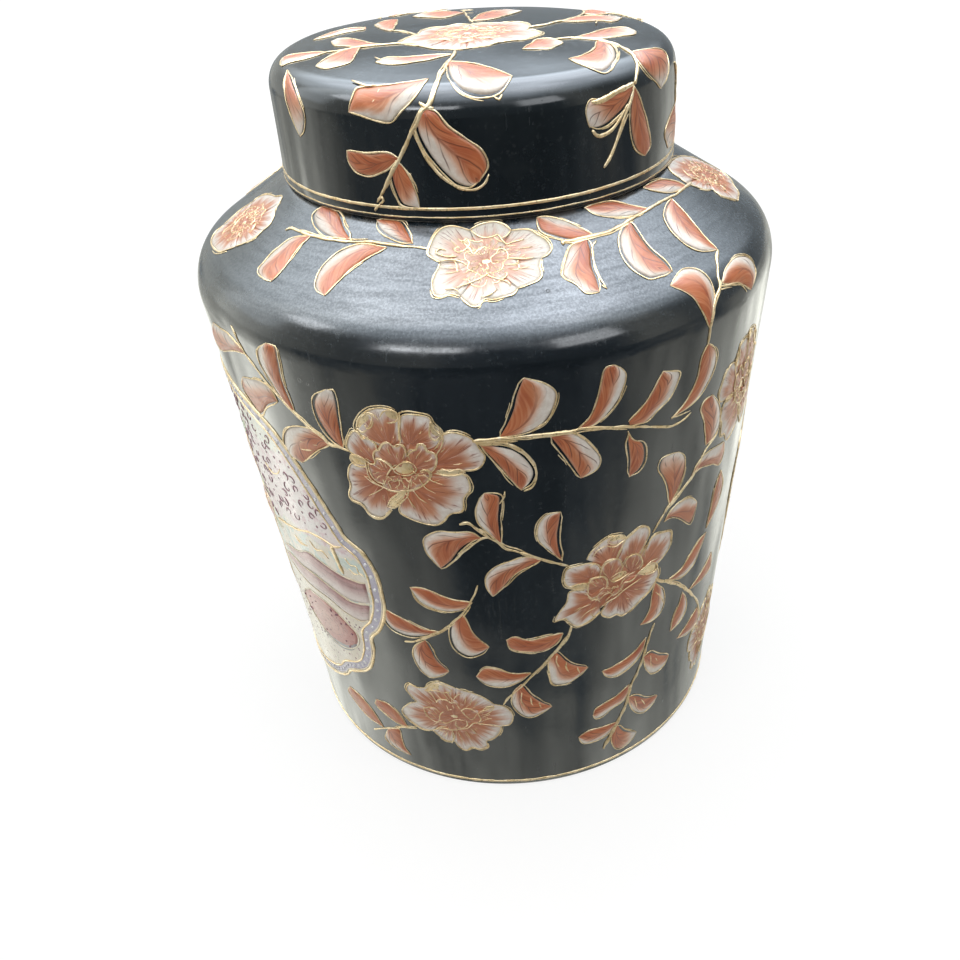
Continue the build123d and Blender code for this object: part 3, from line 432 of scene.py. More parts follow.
STROKES = [
    ('f1', 'b', [(-16.4,179.3),(-16.5,176.4),(-17,173),(-17.1,169.7),(-17.7,167.5)], 0.45),
    ('f1', 'b', [(-23.1,169),(-22,167.6),(-21.7,165.2),(-20.6,167.9),(-19.2,168.6),(-18.6,167)], 0.45),
    ('f1', 'b', [(-18.6,167),(-17.8,168.5),(-16.9,168),(-16.5,166.4),(-16.5,164.3)], 0.45),
    ('f1', 'b', [(-16.3,164.3),(-15.4,166.5),(-14.6,167),(-14.1,169.1),(-13,169.2),(-12.5,166.9),(-11.5,166.3),(-11.1,164.6),(-11.7,161.7)], 0.45),
    ('f1', 'b', [(-21.8,165.5),(-22.4,165),(-22.9,162.8),(-22.8,160.3),(-23.8,160),(-24.7,161.2),(-25.8,162.2),(-27.4,162.7)], 0.45),
    ('f1', 'b', [(-24.7,161.2),(-24.7,157.9),(-24.6,155),(-23.6,153.1),(-22.1,152.1),(-20.6,151.4),(-18.6,151.6),(-16.7,152.4),(-14.6,154.2),(-13.2,156.2)], 0.45),
    ('f1', 'b', [(-22.6,162.2),(-21.1,161.9),(-20,160.7),(-19.4,159.4),(-18.1,161.5),(-16.7,162.5),(-15.6,162),(-15,160.3)], 0.45),
    ('f1', 'b', [(-14.4,159.7),(-13.2,160.2),(-12.8,158.4),(-13,156.2)], 0.45),
    ('f1', 'b', [(-10.3,173.4),(-9.6,171.5),(-10.1,168.4),(-11,166),(-11.2,163.5)], 0.45),
    ('f1', 'b', [(-27.1,168.7),(-25.4,171),(-24.7,170.2),(-24.4,168.6),(-23.1,169.7)], 0.45),
    ('f1', 'b', [(-11.6,160),(-10.3,160.4),(-9.1,159.8),(-7.7,160.9),(-6.8,160.5),(-6.3,159.5)], 0.45),
    ('f1', 'b', [(-21.4,155.3),(-20.1,156.4),(-19,155.9),(-18.8,154.1),(-19.7,152.4)], 0.45),
    ('f1', 'b', [(-18.2,156.1),(-17.4,156.6),(-17,155.3),(-16.3,156.1),(-16.7,153.5)], 0.45),
    ('f1', 'b', [(-15.8,159.4),(-15.2,158.1),(-15.9,156.2)], 0.45),
    ('f1', 'b', [(-20.9,154.7),(-20.6,151.8)], 0.45),
    ('f1', 'b', [(-17.8,154),(-17.4,152.2)], 0.45),
    ('f1', 'b', [(-21.7,145),(-19.8,147.9),(-18.4,150.5),(-17.4,152.2)], 0.45),
    ('f1', 'b', [(-20.5,145),(-19.1,147.3),(-17.7,149.5)], 0.45),
    ('f1', 'b', [(-23.2,173.7),(-22.9,172.4),(-22.1,173.3),(-21.4,175.4)], 0.45),
    ('f1', 'b', [(-23.6,175.9),(-22.3,177.9),(-21.2,177.8),(-20.3,175.7)], 0.45),
    ('f1', 'b', [(-14.8,156.7),(-13.9,153.6),(-12.2,151.9)], 0.28),
    ('f1', 'b', [(-13.9,158.7),(-12.4,156.3),(-10.4,155)], 0.28),
    ('f1', 'b', [(-16.3,152.4),(-15.4,149.6),(-14,147.9)], 0.28),
    ('f1', 'b', [(-17.9,151),(-17.4,148.5),(-16.5,145.6)], 0.28),
    ('f1', 'b', [(-23.3,152.5),(-24.4,153.6),(-25.6,155.4)], 0.28),
    ('f1', 'b', [(-22.2,151.7),(-24.1,149.2),(-25.5,147.9)], 0.28),
    ('f2', 'b', [(11.9,108.8),(13.4,109.9),(14.9,109.6),(16,107.6)], 0.42),
    ('f2', 'b', [(16,104.8),(15.8,108.2),(16.6,110.5),(18,110.6),(19.1,110.4),(20.1,108),(19.9,104.4)], 0.42),
    ('f2', 'b', [(18.2,110),(18.6,112.5),(19,114.9),(20.3,116.3),(22.2,116.5),(23.4,114.3)], 0.42),
    ('f2', 'b', [(23.7,111.9),(24.6,114.8),(26,115.6),(27.5,114.4),(28.5,111.5),(28.4,108.4)], 0.42),
    ('f2', 'b', [(27.4,105.9),(29.2,107.3),(31,108.6),(32.9,108.7)], 0.42),
    ('f2', 'b', [(15.6,105.1),(16.5,102.2),(18.2,100.3),(18.9,98.4)], 0.42),
    ('f2', 'b', [(18.4,99.7),(19.8,101.7),(21.2,102.1),(21.6,104.2),(23,103.2),(23.9,105.3),(25.4,107),(26.9,107.3)], 0.42),
    ('f2', 'b', [(18.9,96),(20.3,97.5),(22.2,98.6),(24.1,100.5),(26.6,101.9),(28.6,103.1)], 0.42),
    ('f2', 'b', [(15.9,116.7),(17.2,117.3),(18.6,115.2)], 0.42),
    ('f2', 'b', [(23.4,121.3),(22.5,119.3),(22.1,116.9)], 0.42),
    ('f2', 'b', [(30.4,119.3),(29.5,116.5),(28.9,112.5)], 0.42),
    ('f2', 'b', [(29.3,119.2),(28,115.4)], 0.42),
    ('f2', 'b', [(19.7,123.6),(21.5,122.1),(23.1,122.8),(24,123.9)], 0.42),
    ('f2', 'b', [(16.7,120.6),(17.8,123),(19.5,123.7)], 0.42),
    ('f2', 'b', [(21,108.7),(22.8,109.8),(24.3,108.7)], 0.42),
    ('f2', 'b', [(21.5,106.1),(23.4,106.6),(25.3,108)], 0.42),
    ('f2', 'b', [(19,94),(17.6,92.4),(16.6,95)], 0.42),
    ('f2', 'b', [(20.2,103.3),(21.7,100.4)], 0.42),
    ('f2', 'b', [(22.5,104.5),(23.9,100.7)], 0.42),
    ('f2', 'b', [(13.2,96.9),(14.8,98.9),(16.6,99.4)], 0.25),
    ('f2', 'b', [(14.3,93.8),(16.1,96.2),(18,97.1)], 0.25),
    ('f2', 'b', [(16.5,100.8),(18.4,101.1)], 0.25),
    ('f3', 'b', [(-23.7,46.2),(-21.7,47.9),(-20.4,47.9),(-19.5,45.9)], 0.4),
    ('f3', 'b', [(-23.7,46.2),(-23.2,42.8),(-22.1,40.3),(-20.8,39.1),(-19.9,40.8)], 0.4),
    ('f3', 'b', [(-20.1,51.1),(-18.9,54),(-17.1,54.1),(-16,52.7),(-15.2,53.5),(-14.6,51.9)], 0.4),
    ('f3', 'b', [(-15.3,55.3),(-14.4,57.8),(-12.9,59.4)], 0.4),
    ('f3', 'b', [(-14.6,51.9),(-13.8,49.2),(-12.7,50.6),(-11.3,50.3),(-10,48.2)], 0.4),
    ('f3', 'b', [(-10,48.2),(-9.4,44.6),(-10.3,42)], 0.4),
    ('f3', 'b', [(-10.3,42),(-8.4,41.6),(-6.4,41.1),(-4.6,39.9)], 0.4),
    ('f3', 'b', [(-19.9,40.8),(-19.3,44.8),(-17.8,47.8),(-16.2,49)], 0.4),
    ('f3', 'b', [(-19.9,40.8),(-18.5,39.6),(-16.8,41.5),(-15.4,43.2),(-13.9,43.1),(-12.6,44.6)], 0.4),
    ('f3', 'b', [(-22.4,33.2),(-19.5,36),(-17.2,35.7),(-14.8,37.2),(-13,38.3),(-11.3,41.8),(-10.3,42)], 0.4),
    ('f3', 'b', [(-15.4,43.2),(-15.7,39.4),(-14.5,37.9),(-12.9,40.3),(-13.1,43.9)], 0.4),
    ('f3', 'b', [(-14,49.1),(-13,46.4),(-11.6,44.2),(-10.2,47.5)], 0.4),
    ('f3', 'b', [(-22.1,57.7),(-20.9,56.6),(-19.7,52.4)], 0.4),
    ('f3', 'b', [(-16.7,59.4),(-15.8,55.7),(-15.2,54.1)], 0.4),
    ('f3', 'b', [(-9.4,49.4),(-7.7,50.2),(-6.2,52.6)], 0.4),
    ('f3', 'b', [(-17.8,27.1),(-16.7,31.4),(-17,35.2)], 0.4),
    ('f3', 'b', [(-19.2,30.4),(-18.4,34)], 0.3),
    ('f3', 'b', [(-17.1,30),(-17.3,34.4)], 0.3),
    ('f3', 'b', [(-14.8,28.9),(-15.5,35.1)], 0.3),
    ('f3', 'b', [(-12.4,31.5),(-13.6,36.3)], 0.3),
    ('f3', 'b', [(-10.7,34.4),(-12.2,38.5)], 0.3),
    ('f3', 'b', [(-19.2,56.2),(-17.9,53.2)], 0.3),
    ('f3', 'b', [(-17.8,58.5),(-16.4,54.3)], 0.3),
    ('f3', 'b', [(-12.3,57.2),(-12.8,53)], 0.3),
    ('f3', 'b', [(-10.9,56.3),(-11.6,52.7)], 0.3),
    ('f3', 'b', [(-9.8,55.3),(-10.5,52.3)], 0.3),
    ('f3', 'b', [(-21.9,44.7),(-20.6,41.7)], 0.3),
    ('f3', 'b', [(-21,46.4),(-19.7,43.4)], 0.3),
    ('f3', 'b', [(-17.3,51),(-17.1,48.1)], 0.3),
    ('f3', 'b', [(-15.8,51.6),(-15.5,48.7)], 0.3),
    ('f3', 'b', [(-8.9,45.9),(-7.1,47.8)], 0.3),
    ('f3', 'b', [(-9,44),(-6.7,45.4)], 0.3),
    ('s1', 'b', [(-6.4,231.6),(-5.2,230.5),(-4.3,231.5),(-3.6,229.4),(-4.9,227.5),(-6.2,226.9),(-7.6,228.6)], 0.4),
    ('s1', 'b', [(-8.9,227.7),(-10.3,228.3),(-11.1,227),(-8.8,225.7),(-6.2,225.6)], 0.4),
    ('s1', 'b', [(-3.6,234.4),(-2.2,232.7),(-0.3,231.5),(1.6,231.7),(3,232.2),(3.8,230.4),(4.5,228.6)], 0.4),
    ('s1', 'b', [(-5.2,230.2),(-3.6,228.1),(-2.7,226.1),(-1.4,228),(-0,228.5)], 0.4),
    ('s1', 'b', [(3.1,228.2),(2,226),(0.7,224.5),(1.4,222.4),(2.7,223.6)], 0.4),
    ('s1', 'b', [(4.5,228.6),(6.4,229.4),(8.8,229.7)], 0.4),
    ('s1', 'b', [(4.5,224.3),(7,223.6),(9.9,223.4)], 0.4),
    ('s1', 'b', [(3.6,222.1),(5.3,221.9),(6.8,222.6)], 0.4),
    ('s1', 'b', [(-9.8,224.1),(-7.9,224.7),(-5.7,224),(-4,222.6)], 0.4),
    ('s1', 'b', [(-0.4,219.1),(-2,217.9),(-4.4,216.5),(-6.3,215.6)], 0.4),
    ('s1', 'b', [(-0.4,219.1),(1.5,217.9),(3.7,216.6),(4.2,215.2)], 0.4),
    ('s1', 'b', [(-2.7,224.1),(-1.5,222.7),(-0.8,220.7),(0.1,221.9),(-0.6,224)], 0.4),
    ('s1', 'b', [(6.3,233.4),(4.8,231.3),(3.4,230.8)], 0.4),
    ('s1', 'b', [(1.5,214.6),(-0.3,212.6),(-1.6,212.4)], 0.4),
    ('s1', 'b', [(-8.2,215),(-6.5,215.3),(-5.7,214)], 0.4),
    ('s1', 'b', [(-9.8,222.4),(-6.7,221.7)], 0.25),
    ('s1', 'b', [(-8.4,220.1),(-5.6,220.7)], 0.25),
    ('s1', 'b', [(7.4,226.9),(10.2,227)], 0.25),
    ('s1', 'b', [(6.1,220.4),(8.6,220.6)], 0.25),
    ('s1', 'b', [(-8.3,231.3),(-6.8,229.3)], 0.25),
    ('b04', 'b', [(0.5,168.9),(2.5,167.3),(4.3,164.2),(5.6,160.4),(5.9,156.4),(5.1,152.6),(3.6,151.4)], 0.45),
    ('b19', 'b', [(0.2,152),(-0.2,149.5),(-1,147.7)], 0.35),
    ('b41', 'b', [(-42.3,160.5),(-38.9,161.4),(-35,161.9)], 0.3),
    ('b41', 'b', [(-42.2,158.3),(-39.5,158.5),(-36.7,159.2)], 0.3),
    ('b30', 'b', [(0.8,59.5),(0.5,54.9),(1.5,50)], 0.35),
    ('b30', 'b', [(2.8,56.1),(2.8,53.2),(3.4,50.7)], 0.35),
    ('b30', 'b', [(4.6,52.6),(5.1,49.5)], 0.35),
    ('b28', 'b', [(9.1,77.1),(8.9,74),(9.8,69.8)], 0.35),
    ('b28', 'b', [(11.2,72.9),(11.2,69.7),(12.1,65.9)], 0.35),
    ('b28', 'b', [(13.8,68.2),(14.3,65.2)], 0.35),
    ('b35', 'b', [(34.1,57.8),(34.4,52.9),(35.3,49.6)], 0.3),
    ('b35', 'b', [(36,54.6),(37.1,50)], 0.3),
    ('b37', 'b', [(30.2,36.7),(31.1,30.7)], 0.3),
    ('b37', 'b', [(32.6,33.4),(34.3,27.6)], 0.3),
    ('b16', 'b', [(33.5,91.7),(35.6,87.2),(36.6,83.2)], 0.3),
    ('l21', 'l', [(35.9,-63),(38,-63.5),(40,-62.9),(43.1,-59.8),(45,-55.5),(45.6,-51.2)], 0.55),
    ('l21', 'l', [(32.4,-57.3),(34.4,-56.5),(37,-54.4),(40.9,-50.2),(45.2,-45.5)], 0.75),
    ('l17', 'l', [(-17.9,-66.1),(-17.8,-70),(-16.2,-74.6),(-12.6,-79),(-7.7,-82.3),(-2.8,-83.2),(1.3,-81.7),(2.8,-79.5)], 0.4),
    ('l17', 'l', [(-14.8,-60.5),(-13.1,-61.9),(-11.1,-62.5)], 0.6),
    ('l15', 'l', [(4.9,-61.4),(6.2,-62.1),(7.1,-60.9)], 0.5),
    ('l13', 'l', [(40.1,-23.6),(40.5,-31.4),(39,-40.4),(37.2,-45.4)], 0.4),
    ('l16', 'l', [(-32.3,-46.9),(-27.9,-51.3),(-25.7,-51.8)], 0.3),
    ('l16', 'l', [(-27.1,-27.9),(-25,-31.9)], 0.3),
    ('l16', 'l', [(-24.7,-53.7),(-26.1,-55.6),(-29.1,-56.8)], 0.25),
    ('u06', 'l', [(-39.6,-76.5),(-37.6,-76.7),(-37.5,-77.9),(-39.5,-77.7)], 0.5),
    ('u06', 'l', [(-42.8,-78.2),(-39.6,-77.9)], 0.5),
    ('l23', 'l', [(62.4,-18),(67.8,-14.7),(71.5,-16),(75.7,-15.1)], 0.6),
    ('s08', 'b', [(21.9,209.7),(21.3,211.3)], 0.4),
    ('s08', 'b', [(25,225.5),(23.4,223.9),(22.1,219),(21.7,213.9),(21.8,210.1)], 0.4),
]
PATCHES = [
    ('f1', 'b', [(-25.1,172.1),(-24.3,175.4),(-22.7,177.4),(-21.6,177),(-22.1,174.3),(-24.1,170.7)]),
    ('f1', 'b', [(-20.2,176.7),(-19.2,178.9),(-17.6,179.5),(-16.7,178),(-17.4,175.9),(-19.1,175.3)]),
    ('f1', 'b', [(-22.2,144.5),(-21.2,147.5),(-19.4,150.3),(-17.6,152.5),(-17.6,149.9),(-19.1,146.9),(-21,144.1)]),
    ('f1', 'b', [(-11.5,159.3),(-10,160.1),(-7.3,160.5),(-6.7,159.5),(-8,158.4),(-10.7,158.3)]),
    ('f1', 'b', [(-27.7,161.9),(-25.9,161.5),(-24.8,160.4),(-25,158.5),(-26.9,158.2),(-27.9,160)]),
    ('f1', 'b', [(-19.6,159.8),(-18.3,161.5),(-16.7,162.5),(-15.5,161.6),(-15.1,159.9),(-16.3,157.9),(-17.9,157.2),(-19.2,158)]),
    ('f1', 'b', [(-11.4,176.6),(-10.6,173.8),(-9.9,172.5),(-10.9,170.4),(-11.8,171.7)]),
    ('f2', 'b', [(19.9,124.8),(21,126.2),(22.8,126),(24.2,123.7),(22.9,122.9),(21.3,123.1)]),
    ('f2', 'b', [(27.7,105.7),(29.7,107.3),(31.9,107.3),(33.2,104.8),(32.5,102.7),(29.9,103.4)]),
    ('f2', 'b', [(11.7,108.9),(13.2,110),(15.6,109.2),(16,107.2),(13.8,107.4)]),
    ('f2', 'b', [(20.8,108),(22.6,109.5),(24.6,109),(23.9,106.7),(21.7,106.4)]),
    ('f3', 'b', [(-22.4,57),(-20.5,60.8),(-18.4,62.8),(-16.8,61.7),(-15.5,59.8),(-17.1,58.2),(-19.8,58.3)]),
    ('f3', 'b', [(-19.5,42.9),(-18,46),(-15.7,46.8),(-13.6,45),(-14.4,42.9),(-17.4,40.7),(-19.2,40.5)]),
    ('f3', 'b', [(-9.2,48.9),(-7.4,52),(-6,52),(-7,49),(-8.6,47.1)]),
    ('f3', 'b', [(-21.5,34.3),(-19.2,36.8),(-17.2,36.4),(-18.9,33.7)]),
    ('s1', 'b', [(-6.9,227.9),(-6.6,230.6),(-5.2,229.9),(-3.8,228.8),(-4.5,226.5),(-6,226.3)]),
]
MED_HALF = [(-70,167.2),(-61,166.6),(-53,163.9),(-48.2,160.5),(-44.7,155.3),(-42,149.5),(-39.8,143.5),(-37.6,137),(-35.6,130.8),(-34,125.6),(-31.3,122.8),(-29.3,118.2),(-28.2,111.6),(-28,104.2),(-28.2,97.9),(-29.2,91.4),(-31.1,84.6),(-34.1,78.3),(-34.4,72.6),(-35.4,66.4),(-37.2,60),(-39.6,55.4),(-42.6,52.4),(-45.9,49.2),(-48.2,44.5),(-51.8,40.2),(-56.5,36.6),(-61,33.4),(-66,31.8),(-70,31.2)]
PITS = [(-35.2,183.8),(10.9,212.6),(-33.5,183.2)]

# ---------------------------------------------------------------------------
# Curves on the surface
# ---------------------------------------------------------------------------


def spline(pts, per=10, closed=False):
    """A smooth curve through the points."""
    P = np.asarray(pts, float)
    if closed:
        P = np.vstack([P[-1:], P, P[:2]])
    else:
        if len(P) == 2:
            return np.stack([np.linspace(P[0, k], P[1, k], per) for k in range(2)], 1)
        P = np.vstack([2 * P[0] - P[1], P, 2 * P[-1] - P[-2]])
    out = []
    for k in range(1, len(P) - 2):
        p0, p1, p2, p3 = P[k - 1 : k + 3]
        d1 = max(1e-6, np.linalg.norm(p2 - p1))
        d0, d2 = np.linalg.norm(p1 - p0), np.linalg.norm(p3 - p2)
        m1 = (p2 - p0) / max(1e-6, d0 + d1) * d1
        m2 = (p3 - p1) / max(1e-6, d1 + d2) * d1
        t = np.linspace(0, 1, per, endpoint=False)[:, None]
        out.append(
            (2 * t**3 - 3 * t**2 + 1) * p1
            + (t**3 - 2 * t**2 + t) * m1
            + (-2 * t**3 + 3 * t**2) * p2
            + (t**3 - t**2) * m2
        )
    out.append(P[-2][None, :])
    return np.vstack(out)


def iso(kind, p):
    p = np.asarray(p, float).copy()
    if kind == "b":
        p[..., 0] = p[..., 0] * DEG
    return p


def even(kind, pts, count=None, step=None, closed=False, per=10):
    """The smooth curve through pts, at even steps on the real surface."""
    c = spline(pts, per, closed)
    s = arc_of(place(kind, c))
    n = count if count else max(4, int(round(s[-1] / step)) + 1)
    q = np.linspace(0, s[-1], n)
    return np.stack([np.interp(q, s, c[:, k]) for k in range(2)], 1), float(s[-1])


def drift(n, knots, rng):
    """Smooth random values between -1 and 1."""
    k = max(2, int(knots) + 1)
    v = rng.uniform(-1, 1, k)
    x = np.linspace(0, k - 1, n)
    i = np.minimum(x.astype(int), k - 2)
    f = x - i
    f = f * f * (3 - 2 * f)
    return v[i] * (1 - f) + v[i + 1] * f


def smooth(a, b, x):
    t = np.clip((np.asarray(x, float) - a) / (b - a), 0, 1)
    return t * t * (3 - 2 * t)


# ---------------------------------------------------------------------------
# Mesh building
# ---------------------------------------------------------------------------
ATTRS = ("along", "across", "white", "seed", "tier")


class Acc:
    """Collects several closed forms into one mesh."""

    def __init__(self):
        self.v, self.q, self.t, self.n = [], [], [], 0
        self.a = {k: [] for k in ATTRS}
        self.extra = {}

    def add(self, v, quads=None, tris=None, **attrs):
        v = np.asarray(v, float).reshape(-1, 3)
        self.v.append(v)
        if quads is not None and len(quads):
            self.q.append(np.asarray(quads, int).reshape(-1, 4) + self.n)
        if tris is not None and len(tris):
            self.t.append(np.asarray(tris, int).reshape(-1, 3) + self.n)
        for k in ATTRS:
            x = attrs.get(k, 0.0)
            self.a[k].append(np.broadcast_to(np.asarray(x, float), (len(v),)))
        self.n += len(v)


def to_mesh(name, acc, mats, body, extra=None, face_mats=None):
    v = np.vstack(acc.v) * MM
    q = np.vstack(acc.q) if acc.q else np.zeros((0, 4), int)
    t = np.vstack(acc.t) if acc.t else np.zeros((0, 3), int)
    me = bpy.data.meshes.new(name)
    me.vertices.add(len(v))
    me.vertices.foreach_set("co", v.ravel().astype(np.float32))
    loops = np.concatenate([q.ravel(), t.ravel()]).astype(np.int32)
    me.loops.add(len(loops))
    me.loops.foreach_set("vertex_index", loops)
    starts = np.concatenate(
        [np.arange(len(q)) * 4, len(q) * 4 + np.arange(len(t)) * 3]
    ).astype(np.int32)
    me.polygons.add(len(starts))
    me.polygons.foreach_set("loop_start", starts)
    me.update(calc_edges=True)
    me.validate()
    me.polygons.foreach_set("use_smooth", np.ones(len(me.polygons), bool))
    values = {k: np.concatenate(acc.a[k]) for k in ATTRS}
    values.update(extra or {})
    for k, x in values.items():
        at = me.attributes.new(k, "FLOAT", "POINT")
        at.data.foreach_set("value", np.asarray(x, np.float32))
    for m in mats:
        me.materials.append(m)
    if face_mats is not None:
        me.polygons.foreach_set("material_index", np.asarray(face_mats, np.int32))
    me.update()
    ob = bpy.data.objects.new(name, me)
    bpy.context.scene.collection.objects.link(ob)
    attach(ob, body)
    return ob


def grid_faces(nr, nc, flip=False, wrap=False):
    r, c = np.meshgrid(np.arange(nr - 1), np.arange(nc if wrap else nc - 1), indexing="ij")
    a = r * nc + c
    b = r * nc + (c + 1) % nc
    d = (r + 1) * nc + c
    e = (r + 1) * nc + (c + 1) % nc
    q = np.stack([a, b, e, d], -1).reshape(-1, 4)
    return q[:, ::-1] if flip else q


def plate(acc, kind, G, H, under=-0.16, **attrs):
    """A closed raised patch of enamel: G is a grid of decoration coordinates,
    H its height over the glaze. Its underside lies inside the glaze."""
    nr, nc = G.shape[:2]
    top = place(kind, G, H)
    low = place(kind, G, np.full(H.shape, under))
    n = nr * nc
    e1 = place(kind, G[0, 0][None], 0)[0]
    e2 = place(kind, G[0, -1][None], 0)[0]
    mid = G[nr // 2, nc // 2][None]
    a = place(kind, G[nr // 2 - 1 : nr // 2 + 2, nc // 2], 0)
    b = place(kind, G[nr // 2, nc // 2 - 1 : nc // 2 + 2], 0)
    up = np.cross(b[-1] - b[0], a[-1] - a[0]) @ normal(kind, mid)[0] > 0
    q = [grid_faces(nr, nc, flip=not up)]
    q.append(grid_faces(nr, nc, flip=up) + n)
    ring = (
        [(0, c) for c in range(nc)]
        + [(r, nc - 1) for r in range(1, nr)]
        + [(nr - 1, c) for c in range(nc - 2, -1, -1)]
        + [(r, 0) for r in range(nr - 2, 0, -1)]
    )
    idx = np.array([r * nc + c for r, c in ring])
    nxt = np.roll(idx, -1)
    wall = np.stack([idx, idx + n, nxt + n, nxt], 1)
    q.append(wall if up else wall[:, ::-1])
    both = {
        k: np.concatenate([np.broadcast_to(x, (nr, nc)).ravel()] * 2)
        for k, x in attrs.items()
    }
    acc.add(np.vstack([top.reshape(-1, 3), low.reshape(-1, 3)]), np.vstack(q), **both)


SIDES = 8
RING = np.linspace(0, 2 * math.pi, SIDES, endpoint=False)


def bead(acc, kind, pts, r0, r1=None, rng=None, h=0.05, lift=None, wob=0.12,
         closed=False, flat=0.62, taper=True, step=0.8, swell=0.22, per=10):
    """A raised line of fired gold or enamel laid along pts."""
    r1 = r0 if r1 is None else r1
    c, length = even(kind, pts, step=step, closed=closed, per=per)
    n = len(c)
    if length < 0.6:
        return
    if closed:
        c = c[:-1]
        n -= 1
    t = np.linspace(0, 1, n)
    th, s = polar(kind, c)
    P0 = SKIN[kind].at(th, s, 0)
    N = SKIN[kind].normal(th, s)
    T = (np.roll(P0, -1, 0) - np.roll(P0, 1, 0)) if closed else np.gradient(P0, axis=0)
    T /= np.maximum(1e-9, np.linalg.norm(T, axis=1))[:, None]
    B = np.cross(N, T)
    B /= np.maximum(1e-9, np.linalg.norm(B, axis=1))[:, None]
    k = max(3, length / 3.5)
    w = drift(n, k, rng) * wob
    r = (r0 + (r1 - r0) * t) * (1 + swell * drift(n, k * 1.6, rng) + 0.12 * drift(n, k * 4, rng))
    if closed:
        fade = smooth(0, 0.06, t) * smooth(1, 0.94, t)
        w *= fade
        r = r0 + (r - r0) * fade
    elif taper:
        ends = np.minimum(1, np.minimum(np.arange(n), np.arange(n)[::-1]) / 2.5)
        r = r * np.sqrt(np.clip(0.25 + 0.75 * ends, 0, 1))
    hh = h if lift is None else np.interp(t, np.linspace(0, 1, len(lift)), lift)
    C = P0 + B * w[:, None] + N * np.broadcast_to(hh, (n,))[:, None]
    V = (
        C[:, None, :]
        + B[:, None, :] * (r[:, None] * np.cos(RING))[..., None]
        + N[:, None, :] * (r[:, None] * flat * np.sin(RING))[..., None]
    ).reshape(-1, 3)
    q = grid_faces(n + 1 if closed else n, SIDES, wrap=True)
    if closed:
        q = q % (n * SIDES)
    tris = None
    if not closed:
        V = np.vstack([V, C[:1], C[-1:]])
        a, b = n * SIDES, n * SIDES + 1
        i = np.arange(SIDES)
        j = (i + 1) % SIDES
        last = (n - 1) * SIDES
        tris = np.vstack(
            [np.stack([np.full(SIDES, a), j, i], 1),
             np.stack([np.full(SIDES, b), last + i, last + j], 1)]
        )
    m = len(V)
    al = np.zeros(m)
    al[: n * SIDES] = np.repeat(t * length, SIDES)
    acc.add(V, q[:, ::-1], None if tris is None else tris[:, ::-1], along=al, seed=float(rng.uniform()))


def rope(acc, kind, pts, r0, r1, rng):
    """Two strands of gold twisted round one another along pts."""
    c, length = even(kind, pts, step=0.7)
    n = len(c)
    t = np.linspace(0, 1, n)
    th, s = polar(kind, c)
    P0 = SKIN[kind].at(th, s, 0)
    T = np.gradient(iso(kind, c), axis=0)
    T /= np.linalg.norm(T, axis=1)[:, None]
    side = np.stack([-T[:, 1], T[:, 0]], 1)
    for k in (0, 1):
        ph = t * length / 12.0 * 2 * math.pi + k * math.pi + 0.5 * drift(n, 6, rng)
        off = (r0 + (r1 - r0) * t) * 0.50 * np.sin(ph)
        p = iso(kind, c) + side * off[:, None]
        if kind == "b":
            p[:, 0] /= DEG
        lift = 0.16 + 0.12 * np.cos(ph)
        bead(acc, kind, p, r0 * 0.52, r1 * 0.52, rng, lift=lift, wob=0.10, per=2, swell=0.3)


def outward(kind, edge, other, off):
    """edge moved away from other by off millimetres on the surface."""
    a, b = iso(kind, edge), iso(kind, other)
    d = a - b
    L = np.linalg.norm(d, axis=1)[:, None]
    unit = d / np.maximum(L, 1e-6)
    k = smooth(0.2, 2.5, L[:, 0])[:, None]
    out = a + unit * k * np.broadcast_to(off, (len(a),))[:, None]
    if kind == "b":
        out[:, 0] /= DEG
    return out


NT, NW = 26, 11


